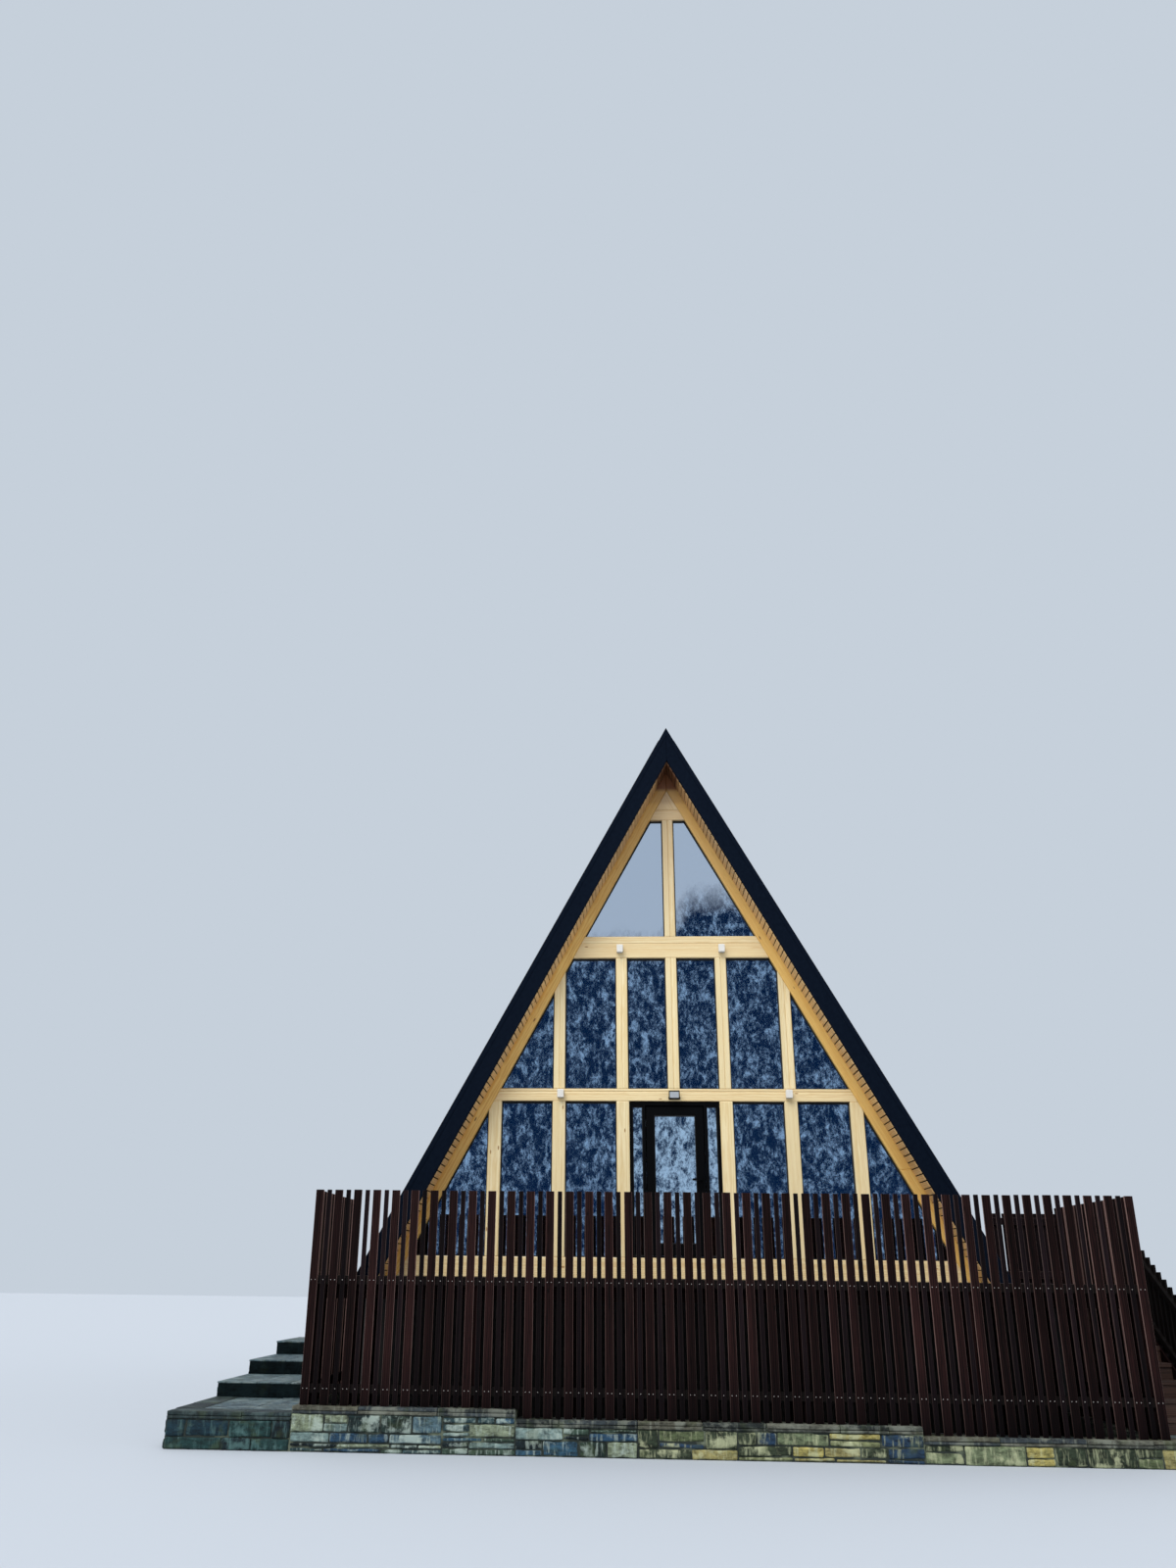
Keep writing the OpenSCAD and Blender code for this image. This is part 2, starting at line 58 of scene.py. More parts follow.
# %% Sizes from the frame
deck_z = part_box("deck_boards")[1].z
cover_low, cover_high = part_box("roof_cover_right")
ridge_z, eaves_z = cover_high.z, cover_low.z
roof_run = cover_high.x / (ridge_z - eaves_z)
inner_half, frame_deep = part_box("front_rafters")[1].xy
roof_inset = (ridge_z - deck_z) * roof_run - inner_half
screen_low, screen_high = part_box("screen_front")
wall_tops = [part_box(name)[1].z for name in ("stone_wall_left", "stone_wall_middle", "stone_wall_right")]
wall_steps = [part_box(name)[0].x for name in ("stone_wall_middle", "stone_wall_right")]


def roof_x(z, inset=0.0):
    """Half width of the roof's outer face at height z, less a level inset."""
    return (ridge_z - z) * roof_run - inset


print("ridge", round(ridge_z, 3), "slope in degrees", round(math.degrees(math.atan(1 / roof_run)), 2))

# %% [markdown]
# A render looks hand made when no two boards are alike. One seeded source of chance gives each board and
# stone its own tone, so the picture is the same on every run.

# %% Chance and colour
SEED = 11
chance = random.Random(SEED)


def linear(hex_colour):
    """An sRGB hex colour as the linear RGBA that Blender's sockets take."""
    parts = [int(hex_colour[i:i + 2], 16) / 255 for i in (1, 3, 5)]
    return [p / 12.92 if p <= 0.04045 else ((p + 0.055) / 1.055) ** 2.4 for p in parts] + [1.0]


print("mid grey is", [round(part, 3) for part in linear("#808080")])

# %% [markdown]
# Shader trees and geometry trees are wired in the same way: a node, its settings, its input values and
# the sockets that it feeds or is fed by. One small helper does all of that. It returns one output of the
# new node, as that is what the next node wants, and the node itself where out is None. Each finish begins
# as a new material with one Principled shader, which is made here too.

# %% One helper for nodes, one for finishes
def add(tree, kind, inputs=None, out=0, into=None, **settings):
    """Adds a node. Each input is a plain value, or another node's output socket that is linked to it."""
    node = tree.nodes.new(kind)
    for name, value in settings.items():
        setattr(node, name, value)
    for key, value in (inputs or {}).items():
        if isinstance(value, bpy.types.NodeSocket):
            tree.links.new(value, node.inputs[key])
        else:
            node.inputs[key].default_value = value
    if into is not None:
        tree.links.new(node.outputs[out], into)
    return node if out is None else node.outputs[out]


def finish(name, roughness, colour=None, **sockets):
    """A new material with one Principled shader. Returns the material, its tree and the shader's inputs."""
    made = bpy.data.materials.new(name)
    made.use_nodes = True
    shader = made.node_tree.nodes["Principled BSDF"].inputs
    shader["Roughness"].default_value = roughness
    if colour:
        shader["Base Color"].default_value = linear(colour)
    for label, value in sockets.items():
        shader[label.replace("_", " ")].default_value = value
    return made, made.node_tree, shader


print("materials in the frame:", len(bpy.data.materials))

# %% [markdown]
# Wood is the main material here: clear lacquered pine, oiled pine lining, dark stained larch and brown
# deck boards. All of them are sawn from a log, so they share one recipe. An image of wood would repeat
# and stretch, so the figure is computed. Grain runs along the piece, and the pattern reads an attribute
# named grain that holds each board's own coordinates, length first. Rings about the length axis give the
# cathedral figure of flat-sawn boards, a stretched noise gives the slow streaks, and a sparse cell
# pattern gives knots some 20 mm wide. The real rings are 3 to 6 mm apart, too fine to show from seventeen
# metres off, so they are drawn 14 mm apart and the streaks 45 mm wide.
#
# Further layers paint light and shade into the colour by place. The narrow sides of the screen's boards
# are lighter and greyer: a painted highlight, where light catches those sides. All pine is browner high
# under the ridge, a painted shade for the overhang's shadow: gently from the upper beam on, and in two
# steps above the collar's lowest plank and in the very tip. The larch of the screen is nearly black at
# its foot, a painted shade above the plinth's cap.

# %% The recipe for wood
STEP_BLUR = 0.06
RING_RELIEF = 0.0012
RING_MM = 14.28
# The Wave node draws one ring in every tenth of pi.
WAVE_SPAN = math.pi / 10
collar_low = deck_z + 6.495
# Painted shade: the pine gets darker with height under the ridge, where the overhang shades it. These are its
# steps.
brown_from, dark_from = collar_low + 0.24, collar_low + 0.46
RIDGE_SHADE_STEPS = ((deck_z + 4.20, deck_z + 5.90, 0.34), (brown_from, brown_from + STEP_BLUR, 0.16),
              (dark_from, dark_from + STEP_BLUR, 0.46))
# Painted shade: the screen's larch is darker towards its foot, above the plinth's cap.
FOOT_SHADE_STEPS = ((screen_low.z + 0.80, screen_low.z + 0.05, 0.75),)


def per_metre(*sizes):
    """How often a pattern repeats in a metre, from its size in millimetres along one axis or all three."""
    return tuple(1000.0 / size for size in sizes) if len(sizes) > 1 else 1000.0 / sizes[0]


def wood(name, pale, deep, knot, roughness, swing, rings=0.35, flank=None, aged=None, wet=None, **sockets):
    """Sawn timber. Each board's brightness moves by up to swing. The last three colours are further tones:
    a painted highlight on the narrow sides, painted shade high under the ridge and painted shade at the foot.
    """
    made, tree, shader = finish(name, roughness, Coat_Roughness=0.25, **sockets)
    grain = add(tree, "ShaderNodeAttribute", out="Vector", attribute_name="grain")
    along = add(tree, "ShaderNodeVectorMath", {0: grain, 1: per_metre(1250, 44.6, 44.6)},
                operation="MULTIPLY")
    streaks = add(tree, "ShaderNodeTexNoise", {"Vector": along, "Scale": 1.0, "Detail": 4.0})
    squeezed = add(tree, "ShaderNodeVectorMath", {0: grain, 1: (0.12, 1.0, 1.0)}, operation="MULTIPLY")
    figure = add(tree, "ShaderNodeTexWave",
                 {"Vector": squeezed, "Scale": WAVE_SPAN * per_metre(RING_MM), "Distortion": 5.0,
                  "Detail": 2.0, "Detail Scale": 1.4}, out="Fac", wave_type="RINGS", rings_direction="X")
    both = add(tree, "ShaderNodeMix", {0: rings, 2: streaks, 3: figure})
    contrast = add(tree, "ShaderNodeMapRange", {"Value": both, "From Min": 0.28, "From Max": 0.72})
    spaced = add(tree, "ShaderNodeVectorMath", {0: grain, 1: per_metre(416.7, 133.3, 133.3)},
                 operation="MULTIPLY")
    cells = add(tree, "ShaderNodeTexVoronoi", {"Vector": spaced, "Scale": 1.0})
    knots = add(tree, "ShaderNodeMapRange", {"Value": cells, "From Min": 0.05, "From Max": 0.09,
                                             "To Min": 1.0, "To Max": 0.0})
    layers = [(contrast, deep), (knots, knot)]
    # Painted highlight: the narrow sides of the screen's boards are lighter, as where light catches them.
    if flank:
        layers.append((add(tree, "ShaderNodeAttribute", out="Fac", attribute_name="flank"), flank))
    # Painted shade by height: darker high under the ridge, and darker at the screen's foot.
    for tint, steps in ((aged, RIDGE_SHADE_STEPS), (wet, FOOT_SHADE_STEPS)):
        if tint:
            place = add(tree, "ShaderNodeTexCoord", out="Object")
            level = add(tree, "ShaderNodeSeparateXYZ", {0: place}, out=2)
            share = 0.0
            for start, end, most in steps:
                rise = add(tree, "ShaderNodeMapRange",
                           {"Value": level, "From Min": start, "From Max": end, "To Max": most})
                share = add(tree, "ShaderNodeMath", {0: share, 1: rise}, operation="ADD")
            layers.append((share, tint))
    colour = linear(pale)
    for share, tint in layers:
        colour = add(tree, "ShaderNodeMix", {0: share, 6: colour, 7: linear(tint)}, out=2, data_type="RGBA")
    tone = add(tree, "ShaderNodeAttribute", out="Fac", attribute_name="tone")
    brighter = add(tree, "ShaderNodeMapRange", {"Value": tone, "To Min": 1.0 - swing, "To Max": 1.0 + swing})
    add(tree, "ShaderNodeHueSaturation", {"Color": colour, "Value": brighter}, into=shader["Base Color"])
    add(tree, "ShaderNodeBump", {"Height": both, "Distance": RING_RELIEF, "Strength": 0.5},
        into=shader["Normal"])
    return made


print("a board 90 mm wide shows", round(90 / RING_MM), "rings at most")

# %% [markdown]
# The recipe now gives nine woods. They differ in what was put on them after sawing: lacquer leaves a
# clear coat with a soft shine, oil soaks in and warms the tone, and dark stain hides nearly all of the
# figure and dulls the surface. A wood's three colours are its pale early wood, its deep late wood and its
# knots.

# %% Woods
# The lacquered pine carries a painted shade high under the ridge.
LACQUER = {"Coat_Weight": 0.2, "aged": "#7A4428"}
# The wet tint is a painted shade that darkens the larch towards the screen's foot.
DARK_STAIN = {"rings": 0.3, "Specular_IOR_Level": 0.05, "wet": "#060304"}
# Planed and lacquered pine: pale yellow with a soft shine, the brightest timber in view.
pine_beam = wood("lacquered pine beams", "#F8E3B0", "#EACB92", "#A87840", 0.42, 0.05, **LACQUER)
pine_post = wood("lacquered pine posts", "#FAE8B9", "#EDD39A", "#B0844A", 0.42, 0.05, **LACQUER)
pine_rafter = wood("lacquered pine rafter", "#FBD680", "#EAB65A", "#8F5F2C", 0.42, 0.06, **LACQUER)
# Oiled pine boards: warmer and duller, as they only see light from below, with painted shade near the ridge.
pine_lining = wood("oiled pine lining", "#FBD499", "#E8B876", "#7A4A1E", 0.5, 0.08, aged="#66402A")
# Rough-sawn larch under dark stain: almost black, with single boards that are redder or greyer.
# The flank colours of the boards and battens are a painted highlight on their narrow sides.
larch_boards = wood("dark stained larch boards", "#251413", "#0A0606", "#0C0707", 0.6, 0.5, flank="#79605A",
                    **DARK_STAIN)
larch_battens = wood("dark stained larch battens", "#191013", "#080607", "#090707", 0.6, 0.45,
                     flank="#4A3C3A", **DARK_STAIN)
larch_rails = wood("dark stained larch rails", "#120C0A", "#090605", "#060404", 0.7, 0.2, rings=0.3,
                   Specular_IOR_Level=0.1)
# Deck boards under brown stain, worn by feet, and indoor floor boards under oil.
deck_larch = wood("brown stained deck boards", "#4C3226", "#2E1B14", "#1A0F0B", 0.6, 0.2)
floor_pine = wood("oiled floor boards", "#B98752", "#8F6034", "#5A371B", 0.45, 0.12)
print("materials with the woods:", len(bpy.data.materials))

# %% [markdown]
# The other finishes are even surfaces with a fine pattern: paint, powder coat, rubber, metal, enamel,
# glass, mortar and render. A pattern may blend two tones, it may be raised, or both, so one function
# makes them all. Sizes are in millimetres, and those of waves, brush marks, orange peel and grit are the
# real ones. The flakes of zinc and the lines of brushed steel are finer in truth, and are drawn coarser
# so that they show in a close view.
#
# The panes are double glazing with a soft metal coating against the sun. The coating mirrors much more
# than plain glass does, a little bluish, and what light it lets through is dim. In the shader a metallic
# share stands for the coating, and the rest transmits. A faint bump over half a metre bends the
# reflections from pane to pane, as toughened glass does. The door's unit is brighter, as its pane is a
# separate, newer make.

# %% Paint, metal, rubber, glass and mortar
NOISE, CELLS = "ShaderNodeTexNoise", "ShaderNodeTexVoronoi"
PANE = {"relief": (NOISE, 588, 1.0, 0.004, 0.15), "IOR": 1.52, "Transmission_Weight": 1.0}


def surface(name, roughness, colour=None, tones=None, relief=None, between=None, stretch=None, **sockets):
    """An even finish. tones and relief each start with a texture, its size in millimetres and its detail.
    Then come two colours, or a depth in metres and a strength."""
    made, tree, shader = finish(name, roughness, colour, **sockets)
    place = add(tree, "ShaderNodeTexCoord", out="Object")
    if stretch:
        place = add(tree, "ShaderNodeMapping", {"Vector": place, "Scale": stretch})
    if tones:
        kind, size, detail, first, second = tones
        share = add(tree, kind, {"Vector": place, "Scale": per_metre(size), "Detail": detail})
        if between:
            share = add(tree, "ShaderNodeMapRange",
                        {"Value": share, "From Min": between[0], "From Max": between[1]})
        add(tree, "ShaderNodeMix", {0: share, 6: linear(first), 7: linear(second)}, out=2,
            into=shader["Base Color"], data_type="RGBA")
    if relief:
        kind, size, detail, depth, strength = relief
        height = add(tree, kind, {"Vector": place, "Scale": per_metre(size), "Detail": detail})
        add(tree, "ShaderNodeBump", {"Height": height, "Distance": depth, "Strength": strength},
            into=shader["Normal"])
    return made


# Thin painted sheet is never quite flat: broad waves bend its dull reflections between the seams.
sheet_steel = surface("painted steel sheet", 0.45, tones=(NOISE, 143, 5.0, "#0F131A", "#191E27"),
                      relief=(NOISE, 455, 1.0, 0.006, 0.6), Metallic=0.1)
# The same dark paint, brushed on wood: no shine, and marks some 55 mm long.
verge_paint = surface("dark painted verge board", 0.6, tones=(NOISE, 55.5, 6.0, "#060D19", "#101926"),
                      relief=(NOISE, 55.5, 6.0, 0.001, 0.4), Specular_IOR_Level=0.02)
# Powder coat on aluminium is black and even, with a fine orange peel.
door_black = surface("black powder-coated aluminium", 0.5, "#040507",
                     relief=(NOISE, 1.11, 1.0, 0.0002, 0.3), Specular_IOR_Level=0.06)
# Rubber is matt black, with a little dust in places.
rubber = surface("black glazing rubber", 0.75, tones=(NOISE, 25, 3.0, "#060708", "#15171A"))
# Brushed stainless steel: long fine lines spread each highlight across them.
steel = surface("satin stainless steel", 0.32, "#B9BBBD", relief=(NOISE, 33.3, 2.0, 0.0002, 0.3),
                stretch=(1.0, 1.0, 30.0), Metallic=1.0)
# Zinc-plated screws are a dull, flaky grey.
zinc = surface("dull zinc screws", 0.5, tones=(CELLS, 2.5, 0.0, "#8F8A84", "#C4BFB8"), Metallic=0.5)
# Enamel is white, smooth and a little weathered, and the lamps' glass is pressed in small prisms.
lamp_white = surface("white enamelled lamp", 0.35, tones=(NOISE, 33.3, 4.0, "#E2DDD0", "#F0EEE8"),
                     Coat_Weight=0.3)
lamp_lens = surface("frosted lamp glass", 0.28, "#C9CFD4", relief=(CELLS, 6.25, 0.0, 0.0006, 0.6),
                    Coat_Weight=0.6, Coat_Roughness=0.05)
# The soft metal coating of the panes mirrors what is before them, and the door's mirrors a little more.
window_glass = surface("coated insulating glass", 0.005, "#C6D5E6", Metallic=0.86, **PANE)
door_pane = surface("clear door glass", 0.005, "#E6EDF3", Metallic=0.93, **PANE)
# Lime mortar is sandy and dark with damp, with pale lime washed out in patches.
mortar = surface("lime mortar", 0.9, tones=(NOISE, 250, 4.0, "#222A25", "#6C7460"), between=(0.52, 0.66),
                 relief=(NOISE, 16.7, 6.0, 0.004, 1.0))
# Render has a coarse grit under broad clouds of damp.
plinth_render = surface("dark plinth render", 0.85, tones=(NOISE, 714, 6.0, "#1F1F20", "#3A3937"),
                        relief=(NOISE, 9.1, 5.0, 0.002, 1.0))
print("materials with the even surfaces:", len(bpy.data.materials))

# %% [markdown]
# The masonry is mixed local stone: blue-grey slate, green-grey schist, pale grey and a few ochre blocks.
# Each stone carries a random tone, and a colour ramp with hard steps turns it into one of those kinds, so
# that a single material paints a whole wall and neighbours still differ. On top come mottling in layers
# of 35 mm, pale lime drips 40 mm wide that run down the face, broader washes of lime, moss, and a rough
# bump. These three coats differ only in their sizes and colours, so a loop adds them.

# %% The recipe for stone
MOSS = "#46522F"
STONE_RELIEF = 0.012


def masonry(name, kinds, lime, roughness, shine=0.25, moss_share=0.35):
    """Split stone whose kind is chosen by the attribute tone, under drips and washes of lime and moss."""
    made, tree, shader = finish(name, roughness, Specular_IOR_Level=shine)
    place = add(tree, "ShaderNodeTexCoord", out="Object")
    tone = add(tree, "ShaderNodeAttribute", out="Fac", attribute_name="tone")
    ramp = add(tree, "ShaderNodeValToRGB", {0: tone}, out=None)
    ramp.color_ramp.interpolation = "CONSTANT"
    steps = ramp.color_ramp.elements
    while len(steps) < len(kinds):
        steps.new(0.5)
    for index, kind in enumerate(kinds):
        steps[index].position = index / len(kinds)
        steps[index].color = linear(kind)
    layered = add(tree, "ShaderNodeMapping", {"Vector": place, "Scale": per_metre(91, 91, 35)})
    mottle = add(tree, "ShaderNodeTexNoise",
                 {"Vector": layered, "Scale": 1.0, "Detail": 9.0, "Roughness": 0.72})
    brighter = add(tree, "ShaderNodeMapRange", {"Value": mottle, "From Min": 0.32, "From Max": 0.68,
                                                "To Min": 0.15, "To Max": 1.8})
    colour = add(tree, "ShaderNodeHueSaturation", {"Color": ramp.outputs[0], "Value": brighter})
    drips = (per_metre(38.5, 38.5, 250), 6.0, 0.6, 0.52, 0.74, 0.8, lime)
    washes = (per_metre(294, 294, 294), 9.0, 0.65, 0.52, 0.60, 0.65, lime)
    moss = (per_metre(200, 200, 200), 6.0, 0.5, 0.56, 0.68, moss_share, MOSS)
    for stretch, detail, fine_share, start, end, most, tint in (drips, washes, moss):
        scaled = add(tree, "ShaderNodeMapping", {"Vector": place, "Scale": stretch})
        cloud = add(tree, "ShaderNodeTexNoise",
                    {"Vector": scaled, "Scale": 1.0, "Detail": detail, "Roughness": fine_share})
        share = add(tree, "ShaderNodeMapRange",
                    {"Value": cloud, "From Min": start, "From Max": end, "To Max": most})
        colour = add(tree, "ShaderNodeMix", {0: share, 6: colour, 7: linear(tint)}, out=2, data_type="RGBA")
    tree.links.new(colour, shader["Base Color"])
    add(tree, "ShaderNodeBump", {"Height": mottle, "Distance": STONE_RELIEF, "Strength": 0.8},
        into=shader["Normal"])
    return made


print("drips of lime repeat", round(per_metre(38.5)), "times along a metre of wall")

# %% [markdown]
# Seven stones come from the recipe. The plinth's left part is bluer and its right part limier and more
# yellow. The old landing on the left is dark and wet, and the step risers behind it are nearly black
# slate. The slabs that people tread on are a paler, worn grey.

# %% Stones
# Split rubble: every block has its own kind, and lime has run over all of them.
wall_stone = masonry("mixed rubble stone", ["#2C4A5C", "#131F23", "#243F54", "#34453A", "#76806A", "#1A2A2A",
                                            "#627572", "#1F2D29", "#485E66", "#273C40"], "#B0BFB4", 0.8)
limy_stone = masonry("lime-washed rubble stone", ["#6A6F4E", "#323A2B", "#857D50", "#22364A", "#505A3E",
                                                  "#968C52", "#283124", "#606A50"], "#B8BC96", 0.8)
# Wet stone is darker and smoother to the eye, with little lime left on it.
landing_stone = masonry("wet blue-green stone", ["#10282C", "#0B1C21", "#163130", "#0E2731"], "#527270", 0.7)
cap_stone = masonry("grey-green cap stone", ["#3D403A", "#1F2524", "#4E4D41", "#30373A", "#5A5B50"],
                    "#7C8074", 0.7)
wet_cap_stone = masonry("wet dark cap stone", ["#1D2A2B", "#141F22", "#2A3430", "#19272B"], "#4A5A58", 0.6)
step_slate = masonry("wet dark slate", ["#070F11", "#050C0E", "#091214"], "#111E21", 0.7, shine=0.05,
                     moss_share=0.05)
# Worn flagstones are the palest stone, rubbed smooth by feet.
tread_stone = masonry("worn grey flagstone", ["#4E6064", "#41545B", "#5C6868"], "#82908F", 0.6)
print("materials with the stones:", len(bpy.data.materials))

# %% [markdown]
# The frame's own timbers have sloping ends, so they come from the model itself rather than from new
# boxes. A CAD node is a heap of loose triangles, so a copy is merged first. Its separate solids are then
# told apart by walking from vertex to vertex.

# %% Solids copied from the frame
WELD = 0.00005


def merged(node_name):
    """A node's mesh with its loose triangles joined into flat faces."""
    shape = bmesh.new()
    shape.from_mesh(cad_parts[node_name].data)
    bmesh.ops.remove_doubles(shape, verts=shape.verts, dist=WELD)
    bmesh.ops.dissolve_limit(shape, angle_limit=math.radians(1), verts=shape.verts, edges=shape.edges)
    return shape


def solids(shape):
    """The separate solids of a mesh, each as a list of vertices."""
    seen, found = set(), []
    for first in shape.verts:
        if first in seen:
            continue
        seen.add(first)
        group = [first]
        for vert in group:
            for edge in vert.link_edges:
                other = edge.other_vert(vert)
                if other not in seen:
                    seen.add(other)
                    group.append(other)
        found.append(group)
    return found


def corners(group):
    """Lowest and highest corner of some vertices."""
    return (Vector(min(v.co[i] for v in group) for i in range(3)),
            Vector(max(v.co[i] for v in group) for i in range(3)))


def boxes(node_name):
    """Lowest and highest corner of each solid of a node."""
    shape = merged(node_name)
    found = [corners(group) for group in solids(shape)]
    shape.free()
    return found


print("the front posts are", len(boxes("front_posts")), "solids")

# %% [markdown]
# A copied timber is sawn where the real one is glued or jointed, and each edge is planed off. On the real
# gable that chamfer catches the light as a thin pale line. Every timber then gets its grain coordinates
# along its longest edge, each from its own place in the log, so that no two show the same figure.

# %% Saw, plane and grain
SHARP = math.radians(20)


def saw(shape, group, point, normal):
    """Cuts one solid in two at a plane and closes both sides."""
    members = set(group)
    geometry = list(group)
    geometry += [e for e in shape.edges if e.verts[0] in members]
    geometry += [f for f in shape.faces if f.verts[0] in members]
    cut = bmesh.ops.bisect_plane(shape, geom=geometry, plane_co=point, plane_no=normal)
    edges = [e for e in cut["geom_cut"] if isinstance(e, bmesh.types.BMEdge)]
    bmesh.ops.split_edges(shape, edges=edges)
    bmesh.ops.holes_fill(shape, edges=[e for e in shape.edges if e.is_boundary], sides=0)


def note_grain(shape):
    """Writes grain and tone on each solid: length first, from its longest edge."""
    grain = shape.verts.layers.float_vector.new("grain")
    tone = shape.verts.layers.float.new("tone")
    for group in solids(shape):
        edges = [e for v in group for e in v.link_edges]
        longest = max(edges, key=lambda e: round(e.calc_length(), 4))
        along = (longest.verts[1].co - longest.verts[0].co).normalized()
        side = Vector((0, 1, 0)) if abs(along.y) < 0.9 else Vector((1, 0, 0))
        across = along.cross(side).normalized()
        low, high = corners(group)
        middle = (low + high) / 2
        shift = Vector((chance.uniform(0, 40), chance.uniform(-0.08, 0.08), chance.uniform(-0.1, 0.1)))
        value = chance.random()
        for vert in group:
            off = vert.co - middle
            vert[grain] = Vector((off.dot(along), off.dot(across), off.dot(along.cross(across)))) + shift
            vert[tone] = value


print("edges sharper than", round(math.degrees(SHARP)), "degrees are planed")

# %% [markdown]
# Each finished mesh becomes one piece. The frame is told which body carries it and, where it stands in
# for a node, which one, and that node is hidden. A planed copy does: it is sawn, bevelled, given its grain
# and stands in for the node.

# %% Pieces and planed copies
def own(mesh, name, replaces=None, body="cabin"):
    """Makes a mesh a piece of the object: its body and the node it stands for."""
    piece = bpy.data.objects.new(name.replace(" ", "_"), mesh)
    bpy.context.scene.collection.objects.link(piece)
    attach(piece, body)
    if replaces:
        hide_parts(replaces)
    print(name + ":", len(mesh.polygons), "faces")


def hang(shape, name, material, replaces=None, body="cabin"):
    """Makes a piece from a shape that was built or cut by hand."""
    mesh = bpy.data.meshes.new(name)
    shape.to_mesh(mesh)
    shape.free()
    mesh.materials.append(material)
    own(mesh, name, replaces, body)


def eased(node_name, name, width, material, body="cabin", cuts=None, segments=2):
    """A planed copy of a node that stands in for it. cuts(low, high) gives the planes that split a solid."""
    shape = merged(node_name)
    for group in solids(shape) if cuts else []:
        for point, normal in cuts(*corners(group)):
            saw(shape, group, point, normal)
            members = set(group)
            group = [v for v in shape.verts if v in members]
    sharp = [e for e in shape.edges if len(e.link_faces) == 2 and e.calc_face_angle(0) > SHARP]
    bmesh.ops.bevel(shape, geom=sharp, offset=width, segments=segments, profile=0.5, affect="EDGES",
                    clamp_overlap=True)
    note_grain(shape)
    hang(shape, name, material, node_name, body)


print(len(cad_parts), "nodes of the frame can be copied or dressed")

# %% [markdown]
# On the real gable the slim posts are glued from two halves, with a fine groove down the middle. The
# lower beam carries a separate sill board on top, the upper beam is glued from two planks, and the collar
# is stacked from three. The right rafter has a slanted scarf joint at about head height over the terrace.

# %% The two gable frames
PLANED = 0.010
UP = Vector((0, 0, 1))
SAME_PLACE = 0.05
SILL_SEAM, PLANK_SEAM, COLLAR_SEAMS = 0.045, 0.055, (0.165, 0.295)
lower_beam_top = deck_z + 2.475
upper_beam_low = deck_z + 4.350
scarf_z = deck_z + 1.42


def beam_cuts(low, high):
    """Glue lines of the level timbers, told apart by their height."""
    middle = (low + high) / 2
    if abs(high.z - lower_beam_top) < SAME_PLACE:
        return [(middle + UP * SILL_SEAM, UP)]
    if abs(low.z - upper_beam_low) < SAME_PLACE:
        return [(middle + UP * PLANK_SEAM, UP)]
    if abs(low.z - collar_low) < SAME_PLACE:
        return [(Vector((0, middle.y, low.z + seam)), UP) for seam in COLLAR_SEAMS]
    return []


def post_cuts(low, high):
    """The slim upper posts are two glued halves."""
    return [((low + high) / 2, Vector((1, 0, 0)))] if low.z > lower_beam_top - SAME_PLACE else []


def rafter_cuts(low, high):
    """The slanted scarf joint of the right-hand rafter."""
    if high.x < 1:
        return []
    return [(Vector((roof_x(scarf_z, roof_inset), low.y, scarf_z)), Vector((-0.10, 0, 1)).normalized())]


for side in ("front", "back"):
    eased(side + "_rafters", side + " gable rafters", PLANED, pine_rafter, cuts=rafter_cuts)
    eased(side + "_beams", side + " gable beams", PLANED, pine_beam, cuts=beam_cuts)
    eased(side + "_posts", side + " gable posts", PLANED, pine_post, cuts=post_cuts)

# %% [markdown]
# A black rubber gasket holds every pane. From afar it is what draws each window as a crisp dark outline.
# A bevel of the pane would round the glass instead, so the gasket is its own ring: the outline of each
# pane is read from the frame and moved inwards by the gasket's width, and the ring between the two is
# pulled to a strip that stands proud of the glass on both faces. The head of each gasket is wider, and
# that black strip stands in for the shadow under each pane's head: a painted shadow.

# %% Gaskets round the panes
GASKET_WIDE, NARROW_GASKET = 0.016, 0.010
# The wider head is a painted shadow: black rubber where the pane's head lies in shade.
GASKET_HEAD_SHADOW = 0.014
GASKET_PROUD = 0.008


def inset(points, distance):
    """A convex outline moved inwards by a distance."""
    middle = sum(points, Vector((0, 0))) / len(points)
    count = len(points)
    inner = []
    for index in range(count):
        before, at, after = points[index - 1], points[index], points[(index + 1) % count]
        lines = []
        for start, end in ((before, at), (at, after)):
            run = (end - start).normalized()
            inward = Vector((-run.y, run.x))
            if inward.dot(middle - start) < 0:
                inward = -inward
            lines.append((start + inward * distance, run))
        (here, way), (there, other_way) = lines
        gap = there - here
        share = (gap.x * other_way.y - gap.y * other_way.x) / (way.x * other_way.y - way.y * other_way.x)
        inner.append(here + way * share)
    return inner


def gaskets(node_name, name, body="cabin", wide=GASKET_WIDE):
    """The rubber rings of all panes of a glass node. Each is a closed strip between two outlines."""
    glass, shape = merged(node_name), bmesh.new()
    for group in solids(glass):
        low, high = corners(group)
        members = set(group)
        front = [f for f in glass.faces if f.verts[0] in members and f.normal.y < -0.9]
        face = max(front, key=lambda f: f.calc_area())
        outer = [Vector((v.co.x, v.co.z)) for v in face.verts]
        middle = sum(point.y for point in outer) / len(outer)
        inner = [point - Vector((0, GASKET_HEAD_SHADOW if point.y > middle else 0)) for point in inset(outer, wide)]
        loops = [[shape.verts.new((p.x, y, p.y)) for p in line]
                 for y in (low.y - GASKET_PROUD, high.y + GASKET_PROUD) for line in (outer, inner)]
        for i in range(len(outer)):
            j = (i + 1) % len(outer)
            for a, b in ((0, 1), (1, 3), (3, 2), (2, 0)):
                shape.faces.new((loops[a][i], loops[a][j], loops[b][j], loops[b][i]))
    glass.free()
    bmesh.ops.recalc_face_normals(shape, faces=shape.faces)
    hang(shape, name, rubber, body=body)


